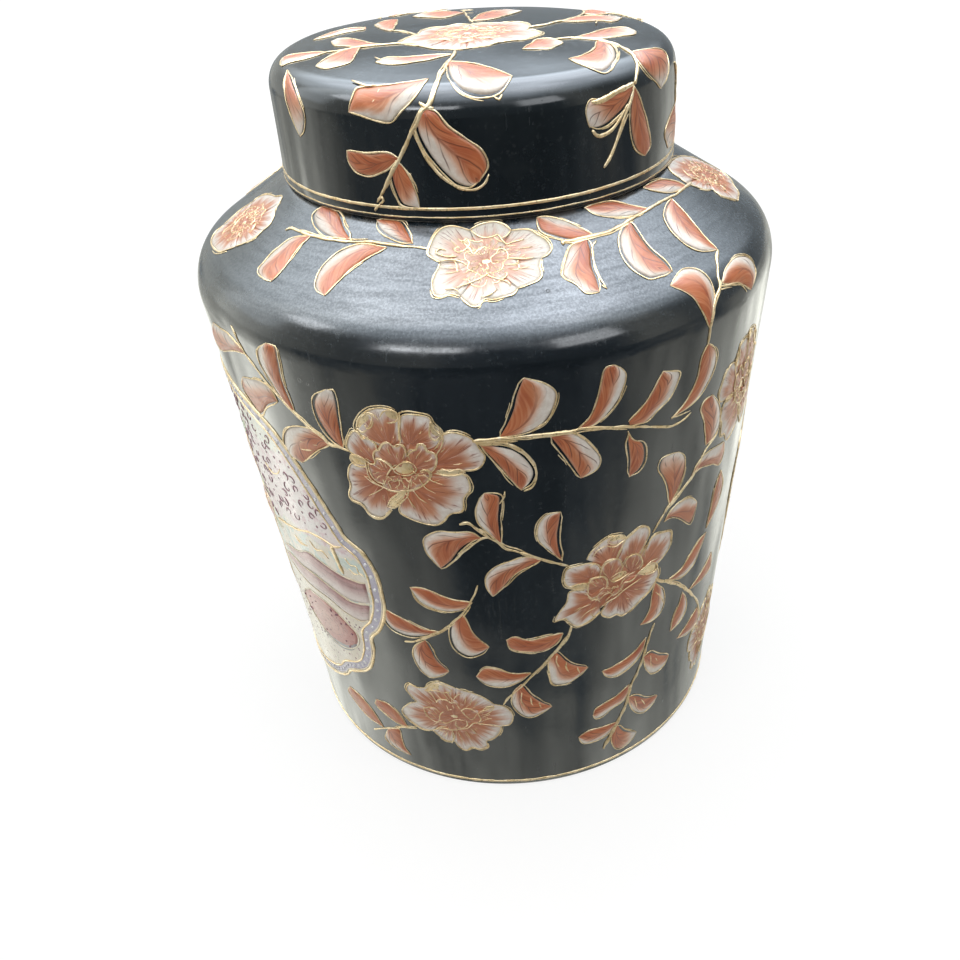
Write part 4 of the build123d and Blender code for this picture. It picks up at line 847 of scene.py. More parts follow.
def leaf(paint, gold, kind, A, B, white, gap, seed):
    rng = np.random.RandomState(seed)
    a, la = even(kind, A, count=NT)
    b, lb = even(kind, B, count=NT)
    w = np.linspace(0, 1, NW)
    t = np.linspace(0, 1, NT)
    G = a[:, None, :] * (1 - w)[None, :, None] + b[:, None, :] * w[None, :, None]
    W, T = np.meshgrid(w, t)
    width = np.linalg.norm(iso(kind, a) - iso(kind, b), axis=1)
    tall = 0.16 + 0.42 * np.clip(width / 9.0, 0, 1)
    H = 0.03 + tall[:, None] * np.sin(np.pi * W) ** 0.75
    H -= 0.10 * np.exp(-(((W - 0.5 - 0.06 * np.sin(5 * T)) / 0.07) ** 2)) * smooth(0, 0.2, T) * smooth(1, 0.75, T)
    H += 0.035 * np.sin(T * 19 + W * 6 + seed) * np.sin(np.pi * W)
    edge = (0.42 if white == "A" else 0.58) + 0.10 * np.sin(T * 7 + seed)
    if white == "A":
        m = smooth(edge + 0.28, edge - 0.40, W) * smooth(-0.05, 0.35, T)
    elif white == "B":
        m = smooth(edge - 0.28, edge + 0.40, W) * smooth(-0.05, 0.35, T)
    elif white == "T":
        m = smooth(0.40, 1.02, T + 0.10 * np.abs(W - 0.5))
    else:
        m = 0.35 * smooth(0.25, 0.0, np.minimum(W, 1 - W))
    m = np.maximum(m, 0.45 * smooth(0.16, 0.0, np.minimum(W, 1 - W)) * smooth(0.25, 0.6, T))
    m = np.maximum(m, smooth(0.86, 1.0, T) * 0.45)
    plate(paint, kind, G, H, along=T, across=W, white=m, seed=rng.uniform())
    for tag, edge_line, other in (("A", a, b), ("B", b, a)):
        off = 0.95 if tag in gap else 0.22
        line = outward(kind, edge_line, other, off + 0.12 * drift(NT, 5, rng))
        bead(gold, kind, line, 0.25, 0.20, rng, h=0.12, wob=0.18, per=3, swell=0.32)
        if rng.uniform() < 0.45:  # a second pass of the brush over part of the edge
            i0 = rng.randint(2, NT // 2)
            i1 = min(NT, i0 + rng.randint(8, 16))
            side = outward(kind, edge_line, other, off + 0.55)
            bead(gold, kind, side[i0:i1], 0.20, 0.16, rng, h=0.08, wob=0.2, per=3)


def petal(paint, gold, kind, root, rim, tier, seed, line=True, nu=30, nv=13, pale=0.0):
    rng = np.random.RandomState(seed)
    b, lb = even(kind, rim, count=nu)
    root = np.array(root, float)
    v = np.linspace(0.03, 1, nv)
    u = np.linspace(0, 1, nu)
    U, V = np.meshgrid(u, v)
    G = root[None, None, :] * (1 - V[..., None]) + b[None, :, :] * V[..., None]
    base = (0.04, 0.30, 0.52)[tier]
    crown = (0.50, 0.38, 0.26)[tier]
    H = base + crown * np.sin(np.pi * np.clip(V, 0, 1)) ** 0.8 * (0.45 + 0.55 * np.sin(np.pi * U) ** 0.7)
    H += 0.06 * np.sin(U * np.pi * 7 + seed) * V * (1 - smooth(0.85, 1, V))
    if tier:
        H -= (base * 0.9) * (1 - smooth(0.0, 0.12, np.minimum(U, 1 - U))) * (1 - V)
    start = (0.52, 0.70, 0.80)[tier]
    jag = 0.07 * np.sin(U * 23 + seed) + 0.05 * np.sin(U * 51 + 2.3 * seed)
    m = smooth(start, 1.04, V + jag) * (1.0, 0.62, 0.45)[tier]
    m = np.clip(m + pale * (0.25 + 0.6 * V), 0, 1)
    plate(paint, kind, G, H, along=V, across=U, white=m, seed=rng.uniform(), tier=tier)
    if line:
        # fine hairs of gold drawn up the petal
        for i in range(4 if tier else 3):
            u0 = (i + 0.5 + 0.28 * rng.uniform(-1, 1)) / (4 if tier else 3)
            v0, v1 = (0.44, 0.90) if tier else (0.40, 0.62)
            vv = np.linspace(v0 + 0.10 * rng.uniform(), v1 - 0.14 * rng.uniform(), 6)
            uu = u0 + 0.03 * np.sin(vv * 9 + seed + i)
            at = np.interp(uu, u, np.arange(nu))
            j = np.clip(at.astype(int), 0, nu - 2)
            foot = b[j] + (b[j + 1] - b[j]) * (at - j)[:, None]
            hair = root[None] * (1 - vv[:, None]) + foot * vv[:, None]
            top = base + crown * np.sin(np.pi * vv) ** 0.8 * (0.45 + 0.55 * np.sin(np.pi * uu) ** 0.7)
            bead(gold, kind, hair, 0.18, 0.12, rng, lift=top + 0.05, wob=0.06, per=2)
        c = np.array([root] * nu)
        edge_line = outward(kind, b, c, 0.15)
        bead(gold, kind, edge_line, 0.27 if tier == 0 else 0.22, None, rng, h=base + 0.09, wob=0.16, per=3, swell=0.32)
        if tier == 0:
            i0 = rng.randint(0, nu // 3)
            i1 = min(nu, i0 + rng.randint(10, 20))
            out = outward(kind, b, c, 0.85)
            bead(gold, kind, out[i0:i1], 0.22, 0.16, rng, h=0.08, wob=0.2, per=3)


def blob(acc, kind, pts, height, seed, rings=7, n=36, **attrs):
    """A closed, softly domed patch inside the closed outline pts."""
    c, _ = even(kind, pts, count=n + 1, closed=True)
    c = c[:-1]
    mid = c.mean(0)
    k = np.linspace(1, 0.04, rings)
    G = mid[None, None, :] + (c[None] - mid) * k[:, None, None]
    dome = height * np.sqrt(np.clip(1 - k**2, 0, 1))[:, None] + 0.03
    top = place(kind, G, np.broadcast_to(dome, G.shape[:2]))
    skirt = place(kind, c[None], np.full((1, n), -0.16))
    V = np.vstack([skirt, top]).reshape(-1, 3)
    q = grid_faces(rings + 1, n, wrap=True)
    peak = place(kind, mid[None], height + 0.03)
    foot = place(kind, mid[None], -0.16)
    V = np.vstack([V, peak, foot])
    a, b = len(V) - 2, len(V) - 1
    i = np.arange(n)
    j = (i + 1) % n
    last = rings * n
    tris = np.vstack([np.stack([last + i, last + j, np.full(n, a)], 1),
                      np.stack([j, i, np.full(n, b)], 1)])
    area = np.sum(iso(kind, c)[:, 0] * np.roll(iso(kind, c)[:, 1], -1)
                  - np.roll(iso(kind, c)[:, 0], -1) * iso(kind, c)[:, 1])
    if kind == "l":
        area = -area if place(kind, np.array([[0, 1.0]]))[0][1] * 1 < 0 else area
    n0 = normal(kind, mid[None])[0]
    e1 = place(kind, c[:1])[0] - place(kind, mid[None])[0]
    e2 = place(kind, c[n // 4 : n // 4 + 1])[0] - place(kind, mid[None])[0]
    ccw = np.cross(e1, e2) @ n0 > 0
    if not ccw:
        q, tris = q[:, ::-1], tris[:, ::-1]
    vv = np.concatenate([np.zeros(n), np.repeat(1 - k, n), [1, 0]])
    uu = np.concatenate([np.tile(i / n, rings + 1), [0, 0]])
    at = dict(along=vv, across=uu, seed=(seed * 0.618) % 1)
    at.update(attrs)
    acc.add(V, q, tris, **at)


def dot(acc, kind, p, r, height, seed, **attrs):
    a = np.linspace(0, 2 * math.pi, 12, endpoint=False)
    o = np.stack([np.cos(a), np.sin(a)], 1) * r
    if kind == "b":
        o[:, 0] /= DEG
    c = np.array(p, float) + o
    mid = np.array(p, float)
    n = 12
    k = np.array([1.0, 0.8, 0.45])
    G = mid + (c[None] - mid) * k[:, None, None]
    dome = height * np.sqrt(np.clip(1 - k**2, 0, 1))[:, None] + 0.02
    top = place(kind, G, np.broadcast_to(dome, G.shape[:2]))
    skirt = place(kind, c[None], np.full((1, n), -0.1))
    V = np.vstack([skirt, top]).reshape(-1, 3)
    V = np.vstack([V, place(kind, mid[None], height + 0.02), place(kind, mid[None], -0.1)])
    q = grid_faces(4, n, wrap=True)
    i = np.arange(n)
    j = (i + 1) % n
    tris = np.vstack([np.stack([3 * n + i, 3 * n + j, np.full(n, 4 * n)], 1),
                      np.stack([j, i, np.full(n, 4 * n + 1)], 1)])
    e1 = place(kind, c[:1])[0] - place(kind, mid[None])[0]
    e2 = place(kind, c[3:4])[0] - place(kind, mid[None])[0]
    if np.cross(e1, e2) @ normal(kind, mid[None])[0] < 0:
        q, tris = q[:, ::-1], tris[:, ::-1]
    at = dict(seed=(seed * 0.618) % 1)
    at.update(attrs)
    acc.add(V, q, tris, **at)


# ---------------------------------------------------------------------------
# Materials
# ---------------------------------------------------------------------------


class Nodes:
    def __init__(self, name):
        self.mat = bpy.data.materials.new(name)
        self.mat.use_nodes = True
        self.t = self.mat.node_tree
        self.t.nodes.clear()
        self.out = self.t.nodes.new("ShaderNodeOutputMaterial")
        self.bsdf = self.t.nodes.new("ShaderNodeBsdfPrincipled")
        self.t.links.new(self.bsdf.outputs[0], self.out.inputs[0])
        self.coord = self.t.nodes.new("ShaderNodeTexCoord").outputs["Object"]

    def put(self, sock, x):
        if isinstance(x, bpy.types.NodeSocket):
            self.t.links.new(x, sock)
        elif x is not None:
            sock.default_value = x

    def set(self, **kw):
        for k, x in kw.items():
            self.put(self.bsdf.inputs[k.replace("_", " ")], x)

    def attr(self, name):
        n = self.t.nodes.new("ShaderNodeAttribute")
        n.attribute_name = name
        return n.outputs["Fac"]

    def m(self, op, a, b=None, c=None, clamp=False):
        n = self.t.nodes.new("ShaderNodeMath")
        n.operation = op
        n.use_clamp = clamp
        self.put(n.inputs[0], a)
        self.put(n.inputs[1], b)
        self.put(n.inputs[2], c)
        return n.outputs[0]

    def noise(self, scale, detail=3.0, rough=0.5, vec=None, out="Fac", warp=0.0):
        n = self.t.nodes.new("ShaderNodeTexNoise")
        self.put(n.inputs["Vector"], self.coord if vec is None else vec)
        n.inputs["Scale"].default_value = scale
        n.inputs["Detail"].default_value = detail
        n.inputs["Roughness"].default_value = rough
        n.inputs["Distortion"].default_value = warp
        return n.outputs[out]

    def cells(self, scale, vec=None, out="Distance", rand=1.0):
        n = self.t.nodes.new("ShaderNodeTexVoronoi")
        self.put(n.inputs["Vector"], self.coord if vec is None else vec)
        n.inputs["Scale"].default_value = scale
        n.inputs["Randomness"].default_value = rand
        return n.outputs[out]

    def step(self, x, lo, hi, a=0.0, b=1.0):
        n = self.t.nodes.new("ShaderNodeMapRange")
        n.interpolation_type = "SMOOTHSTEP"
        self.put(n.inputs["Value"], x)
        for key, v in (("From Min", lo), ("From Max", hi), ("To Min", a), ("To Max", b)):
            self.put(n.inputs[key], v)
        return n.outputs["Result"]

    def mix(self, f, a, b, mode="MIX"):
        n = self.t.nodes.new("ShaderNodeMix")
        n.data_type = "RGBA"
        n.blend_type = mode
        self.put(n.inputs[0], f)
        for s, x in ((n.inputs[6], a), (n.inputs[7], b)):
            self.put(s, x if isinstance(x, bpy.types.NodeSocket) else (*x, 1.0))
        return n.outputs[2]

    def vec(self, x, y, z):
        n = self.t.nodes.new("ShaderNodeCombineXYZ")
        for s, v in zip(n.inputs, (x, y, z)):
            self.put(s, v)
        return n.outputs[0]

    def xyz(self, v=None):
        n = self.t.nodes.new("ShaderNodeSeparateXYZ")
        self.put(n.inputs[0], self.coord if v is None else v)
        return n.outputs

    def near(self, p):
        n = self.t.nodes.new("ShaderNodeVectorMath")
        n.operation = "DISTANCE"
        self.put(n.inputs[0], self.coord)
        n.inputs[1].default_value = p
        return n.outputs["Value"]

    def bump(self, height, dist, strength=1.0, base=None):
        n = self.t.nodes.new("ShaderNodeBump")
        n.inputs["Strength"].default_value = strength
        n.inputs["Distance"].default_value = dist
        self.put(n.inputs["Height"], height)
        if base is not None:
            self.put(n.inputs["Normal"], base)
        return n.outputs[0]


def black_glaze(name, rim_z, rim_r, shoulder):
    k = Nodes(name)
    big = k.noise(7.0, 3, 0.6)
    mid = k.noise(42.0, 4, 0.62)
    fine = k.noise(620.0, 3, 0.55)
    pin = k.cells(520.0)
    x, y, z = k.xyz()
    base = k.mix(k.step(big, 0.35, 0.68), (0.0070, 0.0105, 0.0135), (0.0135, 0.0180, 0.0200))
    base = k.mix(k.step(mid, 0.52, 0.78, 0.0, 0.55), base, (0.0195, 0.0245, 0.0265))
    specks = k.m("MULTIPLY", k.step(pin, 0.16, 0.05), k.step(k.noise(95.0, 2), 0.5, 0.62))
    base = k.mix(k.m("MULTIPLY", specks, 0.09), base, (0.16, 0.17, 0.165))
    dust = k.m("MULTIPLY", k.step(fine, 0.56, 0.74), 0.10)
    base = k.mix(dust, base, (0.13, 0.14, 0.14))
    # worn, thin glaze along the sharp edge where body and lid meet
    worn = k.m("MULTIPLY", k.step(k.m("ABSOLUTE", k.m("SUBTRACT", z, rim_z)), 0.0013, 0.0004),
               k.step(k.noise(160.0, 3), 0.42, 0.62))
    base = k.mix(k.m("MULTIPLY", worn, 0.25), base, (0.11, 0.085, 0.060))
    rough = k.m("ADD", k.step(mid, 0.35, 0.75, 0.09, 0.20), k.step(fine, 0.45, 0.7, 0.0, 0.06))
    if shoulder:
        top = k.step(z, 0.188, 0.205)
        rough = k.m("ADD", rough, k.m("MULTIPLY", top, k.step(k.noise(18.0, 3, 0.6), 0.3, 0.7, 0.06, 0.20)))
    spec = 0.36
    if shoulder:
        turn = k.m("ARCTAN2", x, k.m("MULTIPLY", y, -1.0))
        rub = k.noise(1.0, 4, 0.66, k.vec(k.m("MULTIPLY", turn, 5.0), k.m("MULTIPLY", z, 900.0), 3.0))
        sparkle = k.noise(1500.0, 2, 0.6)
        spec = k.m("ADD", k.step(rub, 0.34, 0.66, -0.13, 0.10), k.step(sparkle, 0.38, 0.68, -0.10, 0.16))
        spec = k.m("ADD", 0.50, k.m("MULTIPLY", top, spec))
    scratch = k.noise(30.0, 2, 0.5, k.vec(k.m("MULTIPLY", x, 26.0), k.m("MULTIPLY", y, 26.0), k.m("MULTIPLY", z, 1.4)))
    rough = k.m("ADD", rough, k.step(scratch, 0.62, 0.70, 0.0, 0.10))
    hgt = k.m("ADD", k.m("MULTIPLY", fine, 0.5), k.m("MULTIPLY", k.noise(210.0, 2), 1.0))
    hgt = k.m("SUBTRACT", hgt, k.m("MULTIPLY", k.step(pin, 0.11, 0.02), 1.2))
    for p, r in pits_of(shoulder):
        d = k.near(p)
        pit_and_shade = k.step(d, r, r * 0.45)
        lip = k.m("MULTIPLY", k.step(d, r * 1.5, r * 1.1), k.step(d, r * 0.7, r * 1.05))
        # each pit gets a dark spot of painted shade in the hole and a paler ring of painted highlight round its lip,
        # matched by a dent and a rim in the bump
        base = k.mix(pit_and_shade, base, (0.003, 0.004, 0.005))
        base = k.mix(k.m("MULTIPLY", lip, 0.25), base, (0.12, 0.125, 0.125))
        hgt = k.m("SUBTRACT", k.m("ADD", hgt, k.m("MULTIPLY", lip, 1.0)), k.m("MULTIPLY", pit_and_shade, 9.0))
    soft = k.bump(k.noise(23.0, 2, 0.4), 0.00022, 0.6)
    k.set(Base_Color=base, Roughness=rough, Normal=k.bump(hgt, 0.000028, 0.8, soft),
          Specular_IOR_Level=spec, IOR=1.52, Coat_Weight=0.30 if shoulder else 0.16,
          Coat_Roughness=k.step(mid, 0.3, 0.8, 0.05, 0.14))
    return k.mat


def pits_of(shoulder):
    if not shoulder:
        return []
    out = []
    for i, p in enumerate(PITS):
        q = place("b", np.array([p], float))[0] * MM
        out.append((tuple(float(c) for c in q), (0.00055, 0.00065, 0.00045)[i % 3]))
    return out


def white_glaze(name):
    k = Nodes(name)
    mid = k.noise(38.0, 4, 0.6)
    base = k.mix(k.step(mid, 0.3, 0.75), (0.72, 0.70, 0.65), (0.60, 0.585, 0.54))
    iron = k.m("MULTIPLY", k.step(k.cells(260.0), 0.10, 0.03), k.step(k.noise(70.0, 2), 0.55, 0.65))
    base = k.mix(k.m("MULTIPLY", iron, 0.8), base, (0.16, 0.10, 0.06))
    rings = k.m("SINE", k.m("MULTIPLY", k.xyz()[2], 1500.0))
    hgt = k.m("ADD", k.noise(260.0, 3), k.m("MULTIPLY", rings, 0.35))
    k.set(Base_Color=base, Roughness=k.step(mid, 0.3, 0.8, 0.16, 0.34),
          Normal=k.bump(hgt, 0.00008, 0.6), Coat_Weight=0.2)
    return k.mat


def biscuit(name):
    k = Nodes(name)
    mid = k.noise(90.0, 5, 0.65)
    base = k.mix(k.step(mid, 0.3, 0.7), (0.50, 0.42, 0.33), (0.30, 0.23, 0.17))
    grit = k.step(k.cells(900.0), 0.25, 0.05)
    base = k.mix(k.m("MULTIPLY", grit, 0.5), base, (0.13, 0.10, 0.08))
    k.set(Base_Color=base, Roughness=k.step(mid, 0.2, 0.8, 0.75, 0.95),
          Normal=k.bump(k.noise(700.0, 4, 0.6), 0.0002, 0.8))
    return k.mat


def gilding(name, dull=0.0):
    k = Nodes(name)
    a = k.noise(130.0, 4, 0.6)
    b = k.noise(700.0, 3, 0.6)
    base = k.mix(k.step(a, 0.32, 0.72), (0.66, 0.475, 0.235), (0.90, 0.73, 0.455))
    base = k.mix(k.step(b, 0.50, 0.74, 0.0, 0.55), base, (0.90, 0.80, 0.62))
    worn = k.step(k.noise(330.0, 4, 0.7), 0.66, 0.77)
    base = k.mix(k.m("MULTIPLY", worn, 0.60), base, (0.24, 0.155, 0.090))
    metal = k.m("SUBTRACT", 0.46 - dull, k.m("MULTIPLY", worn, 0.30))
    rough = k.m("ADD", k.step(b, 0.3, 0.75, 0.25, 0.42), k.m("MULTIPLY", worn, 0.2))
    hgt = k.m("ADD", b, k.m("MULTIPLY", k.noise(240.0, 2), 1.6))
    k.set(Base_Color=base, Metallic=metal, Roughness=rough, Normal=k.bump(hgt, 0.00009, 0.9),
          Specular_IOR_Level=0.5)
    return k.mat


def enamel_leaf(name):
    k = Nodes(name)
    t, w, m, sd = (k.attr(x) for x in ("along", "across", "white", "seed"))
    big = k.noise(75.0, 3, 0.6)
    fine = k.noise(520.0, 4, 0.6)
    # brush strokes fan out diagonally across the leaf
    lane = k.m("ADD", k.m("MULTIPLY", t, 7.0), k.m("MULTIPLY", k.m("ABSOLUTE", k.m("SUBTRACT", w, 0.5)), -5.5))
    lane = k.m("ADD", lane, k.m("MULTIPLY", sd, 31.0))
    stroke = k.noise(1.0, 3, 0.6, k.vec(k.m("MULTIPLY", lane, 1.9), k.m("MULTIPLY", w, 1.2), sd))
    base = k.mix(k.step(big, 0.3, 0.7), (0.54, 0.155, 0.055), (0.41, 0.098, 0.036))
    base = k.mix(k.step(stroke, 0.42, 0.66, 0.0, 0.7), base, (0.62, 0.235, 0.100))
    mw = k.m("ADD", m, k.m("MULTIPLY", k.m("SUBTRACT", stroke, 0.5), 0.42))
    mw = k.m("ADD", mw, k.m("MULTIPLY", k.m("SUBTRACT", fine, 0.5), 0.20))
    base = k.mix(k.step(mw, 0.05, 0.66), base, (0.74, 0.42, 0.27))
    base = k.mix(k.step(mw, 0.38, 0.95), base, k.mix(k.step(fine, 0.35, 0.7), (0.77, 0.68, 0.59), (0.88, 0.81, 0.73)))
    # dark veins: a mid rib and slanting side veins
    vein = k.m("FRACT", k.m("ADD", k.m("MULTIPLY", lane, 0.55), k.m("MULTIPLY", big, 0.8)))
    vein = k.m("MULTIPLY", k.step(k.m("ABSOLUTE", k.m("SUBTRACT", vein, 0.5)), 0.10, 0.02),
               k.m("MULTIPLY", k.step(k.noise(60.0, 2), 0.44, 0.54), k.step(k.m("MINIMUM", w, k.m("SUBTRACT", 1.0, w)), 0.06, 0.20)))
    base = k.mix(k.m("MULTIPLY", vein, 0.80), base, (0.14, 0.040, 0.022))
    rib = k.m("MULTIPLY", k.step(k.m("ABSOLUTE", k.m("SUBTRACT", w, 0.5)), 0.055, 0.015), k.step(t, 0.9, 0.35))
    base = k.mix(k.m("MULTIPLY", rib, 0.60), base, (0.24, 0.060, 0.030))
    # darker brown along the leaf's two long edges
    edge_darkening = k.m("MULTIPLY", k.step(k.m("MINIMUM", w, k.m("SUBTRACT", 1.0, w)), 0.07, 0.0), 0.35)
    base = k.mix(edge_darkening, base, (0.23, 0.15, 0.10))
    hgt = k.m("ADD", k.m("MULTIPLY", stroke, 1.4), k.m("MULTIPLY", fine, 0.7))
    k.set(Base_Color=base, Roughness=k.step(fine, 0.3, 0.75, 0.30, 0.48),
          Normal=k.bump(hgt, 0.00010, 0.8), Specular_IOR_Level=0.5, Coat_Weight=0.12, Coat_Roughness=0.2)
    return k.mat


def enamel_petal(name, dark=(0.37, 0.100, 0.042), warm=(0.54, 0.175, 0.072), pink=(0.64, 0.29, 0.150),
                 pale_a=(0.77, 0.68, 0.60), pale_b=(0.89, 0.82, 0.75)):
    k = Nodes(name)
    v, u, m, sd, tier = (k.attr(x) for x in ("along", "across", "white", "seed", "tier"))
    big = k.noise(85.0, 3, 0.6)
    fine = k.noise(620.0, 4, 0.6)
    wide = k.noise(1.0, 2, 0.5, k.vec(k.m("MULTIPLY", u, 9.0), k.m("MULTIPLY", v, 1.1), k.m("MULTIPLY", sd, 17.0)))
    thin = k.noise(1.0, 3, 0.65, k.vec(k.m("MULTIPLY", u, 34.0), k.m("MULTIPLY", v, 1.6), k.m("MULTIPLY", sd, 29.0)))
    base = k.mix(k.step(wide, 0.34, 0.66), warm, dark)
    base = k.mix(k.step(v, 0.15, 0.75, 0.0, 0.45), base, pink)
    base = k.mix(k.step(k.m("MULTIPLY", tier, 0.5), 0.0, 1.0, 0.0, 0.30), base, (0.42, 0.165, 0.090))
    mw = k.m("ADD", m, k.m("MULTIPLY", k.m("SUBTRACT", thin, 0.5), 0.50))
    mw = k.m("ADD", mw, k.m("MULTIPLY", k.m("SUBTRACT", big, 0.5), 0.35))
    base = k.mix(k.step(mw, 0.02, 0.60), base, tuple(0.5 * (a + b) for a, b in zip(pink, pale_a)))
    base = k.mix(k.step(mw, 0.36, 0.95), base, k.mix(k.step(fine, 0.35, 0.7), pale_a, pale_b))
    # fine scratched lines near the root, dark hairs running into the white
    light = k.m("MULTIPLY", k.step(thin, 0.57, 0.66), k.step(v, 0.80, 0.45))
    base = k.mix(k.m("MULTIPLY", light, 0.60), base, (0.80, 0.50, 0.38))
    hairs = k.m("MULTIPLY", k.step(thin, 0.43, 0.35), k.m("MULTIPLY", k.step(v, 0.35, 0.6), k.step(v, 1.0, 0.82)))
    base = k.mix(k.m("MULTIPLY", hairs, 0.75), base, (0.26, 0.065, 0.035))
    hgt = k.m("ADD", k.m("MULTIPLY", thin, 1.6), k.m("MULTIPLY", fine, 0.6))
    k.set(Base_Color=base, Roughness=k.step(fine, 0.3, 0.75, 0.30, 0.50),
          Normal=k.bump(hgt, 0.00012, 0.8), Coat_Weight=0.12, Coat_Roughness=0.2)
    return k.mat


def plain_enamel(name, a, b, c=None, rough=(0.26, 0.45), scale=160.0, streak=False):
    """Opaque overglaze enamel with pooled, uneven colour."""
    k = Nodes(name)
    big = k.noise(scale, 4, 0.6)
    fine = k.noise(scale * 5, 3, 0.6)
    v = k.attr("along")
    base = k.mix(k.step(big, 0.32, 0.70), a, b)
    if c is not None:
        f = k.step(k.m("ADD", v, k.m("MULTIPLY", k.m("SUBTRACT", big, 0.5), 0.5)), 0.15, 0.9)
        base = k.mix(f, base, c)
    if streak:
        thin = k.noise(1.0, 3, 0.6, k.vec(k.m("MULTIPLY", v, 14.0), k.m("MULTIPLY", k.attr("across"), 2.5), k.m("MULTIPLY", k.attr("seed"), 20.0)))
        base = k.mix(k.step(thin, 0.52, 0.66, 0.0, 0.55), base, tuple(0.45 * x for x in a))
    base = k.mix(k.step(fine, 0.60, 0.78, 0.0, 0.35), base, tuple(min(1, 1.25 * x + 0.03) for x in b))
    k.set(Base_Color=base, Roughness=k.step(fine, 0.3, 0.75, *rough),
          Normal=k.bump(k.m("ADD", big, k.m("MULTIPLY", fine, 0.4)), 0.00012, 0.8),
          Coat_Weight=0.15, Coat_Roughness=0.15)
    return k.mat


def medallion_ground(name):
    """The painted ground of a cartouche: lilac border, blush sky, turquoise and
    cream middle, cream foreground."""
    k = Nodes(name)
    mx, my, ed = (k.attr(x) for x in ("mx", "my", "edge"))
    big = k.noise(55.0, 4, 0.6)
    fine = k.noise(420.0, 4, 0.65)
    pos = k.vec(mx, my, 0.0)
    wav = k.m("ADD", my, k.m("MULTIPLY", k.m("SUBTRACT", k.noise(0.06, 2, 0.5, pos), 0.5), 16.0))
    sky = k.mix(k.step(big, 0.35, 0.7), (0.80, 0.67, 0.66), (0.86, 0.80, 0.77))
    blotch = k.step(k.noise(0.30, 3, 0.6, pos), 0.50, 0.66)
    sky = k.mix(k.m("MULTIPLY", blotch, 0.75), sky, (0.66, 0.42, 0.46))
    cream = k.mix(k.step(big, 0.35, 0.7), (0.78, 0.69, 0.54), (0.86, 0.80, 0.68))
    turq = k.mix(k.step(fine, 0.4, 0.7), (0.58, 0.67, 0.61), (0.74, 0.79, 0.72))
    patch = k.step(k.noise(0.16, 2, 0.5, pos), 0.50, 0.57)
    middle = k.mix(patch, cream, turq)
    low = k.mix(k.m("MULTIPLY", k.step(k.noise(0.42, 3, 0.6, pos), 0.55, 0.7), 0.45), cream, (0.60, 0.40, 0.36))
    milky = k.mix(k.step(big, 0.35, 0.7), (0.74, 0.76, 0.67), (0.84, 0.83, 0.77))
    milky = k.mix(k.m("MULTIPLY", k.step(k.noise(0.34, 3, 0.6, pos), 0.52, 0.62), 0.7), milky, (0.72, 0.62, 0.44))
    sky = k.mix(k.step(wav, 46.0, 48.0), sky, milky)
    base = k.mix(k.step(wav, 13.0, 14.2), k.mix(k.step(wav, -9.0, -7.5), low, middle), sky)
    grain = k.step(fine, 0.58, 0.75, 0.0, 0.30)
    base = k.mix(grain, base, (0.62, 0.52, 0.46))
    # lilac band between the two border lines
    lilac = k.mix(k.step(big, 0.35, 0.7), (0.42, 0.38, 0.50), (0.54, 0.50, 0.58))
    lilac = k.mix(k.step(fine, 0.5, 0.72, 0.0, 0.4), lilac, (0.72, 0.69, 0.74))
    base = k.mix(k.step(ed, 4.9, 4.5), base, lilac)
    k.set(Base_Color=base, Roughness=k.step(fine, 0.3, 0.75, 0.24, 0.42),
          Normal=k.bump(k.m("ADD", big, k.m("MULTIPLY", fine, 0.5)), 0.00012, 0.7),
          Coat_Weight=0.25, Coat_Roughness=0.1)
    return k.mat


M_BODY = black_glaze("black_glaze_body", SEAT_Z * MM, SEAT_R * MM, True)
M_LID = black_glaze("black_glaze_lid", SEAT_Z * MM, LID_R * MM, False)
M_WHITE = white_glaze("white_inner_glaze")
M_BISCUIT = biscuit("bare_porcelain")
M_GOLD = gilding("fired_gold")
M_GOLD_PAINT = gilding("fired_gold_wash", 0.25)
M_LEAF = enamel_leaf("coral_leaf_enamel")
M_PETAL = enamel_petal("coral_petal_enamel")
M_PETAL_PALE = enamel_petal("coral_petal_enamel_pale", pale_a=(0.84, 0.76, 0.66), pale_b=(0.93, 0.88, 0.79),
                            warm=(0.72, 0.33, 0.20), dark=(0.60, 0.22, 0.12), pink=(0.80, 0.52, 0.40))
M_ROSE = enamel_petal("rose_petal_enamel", dark=(0.45, 0.10, 0.17), warm=(0.66, 0.26, 0.32), pink=(0.78, 0.47, 0.50))
M_PEARL = plain_enamel("white_dot_enamel", (0.88, 0.87, 0.86), (0.76, 0.74, 0.76), rough=(0.18, 0.3))
M_CREAM = plain_enamel("cream_line_enamel", (0.84, 0.76, 0.60), (0.74, 0.62, 0.42), scale=220.0)
M_PLUM = plain_enamel("plum_line_enamel", (0.17, 0.045, 0.075), (0.26, 0.085, 0.12), scale=260.0)
M_MAUVE = plain_enamel("mauve_rock_enamel", (0.40, 0.18, 0.18), (0.51, 0.29, 0.27), (0.80, 0.68, 0.63), streak=True)
M_BRICK = plain_enamel("brick_rock_enamel", (0.43, 0.14, 0.12), (0.53, 0.23, 0.18), (0.62, 0.36, 0.30), streak=True)
M_GREEN = plain_enamel("green_leaf_enamel", (0.13, 0.26, 0.14), (0.26, 0.40, 0.20), (0.56, 0.66, 0.42), streak=True)
M_SHADE = plain_enamel("grey_shade_enamel", (0.25, 0.23, 0.24), (0.36, 0.33, 0.33))

# ---------------------------------------------------------------------------
# Jar and lid: fine turned meshes on the CAD's own section
# ---------------------------------------------------------------------------


def divided(P, longest):
    out = [P[0]]
    for a, b in zip(P[:-1], P[1:]):
        n = max(1, int(math.ceil(np.linalg.norm(b - a) / longest)))
        for i in range(1, n + 1):
            out.append(a + (b - a) * i / n)
    return np.array(out)


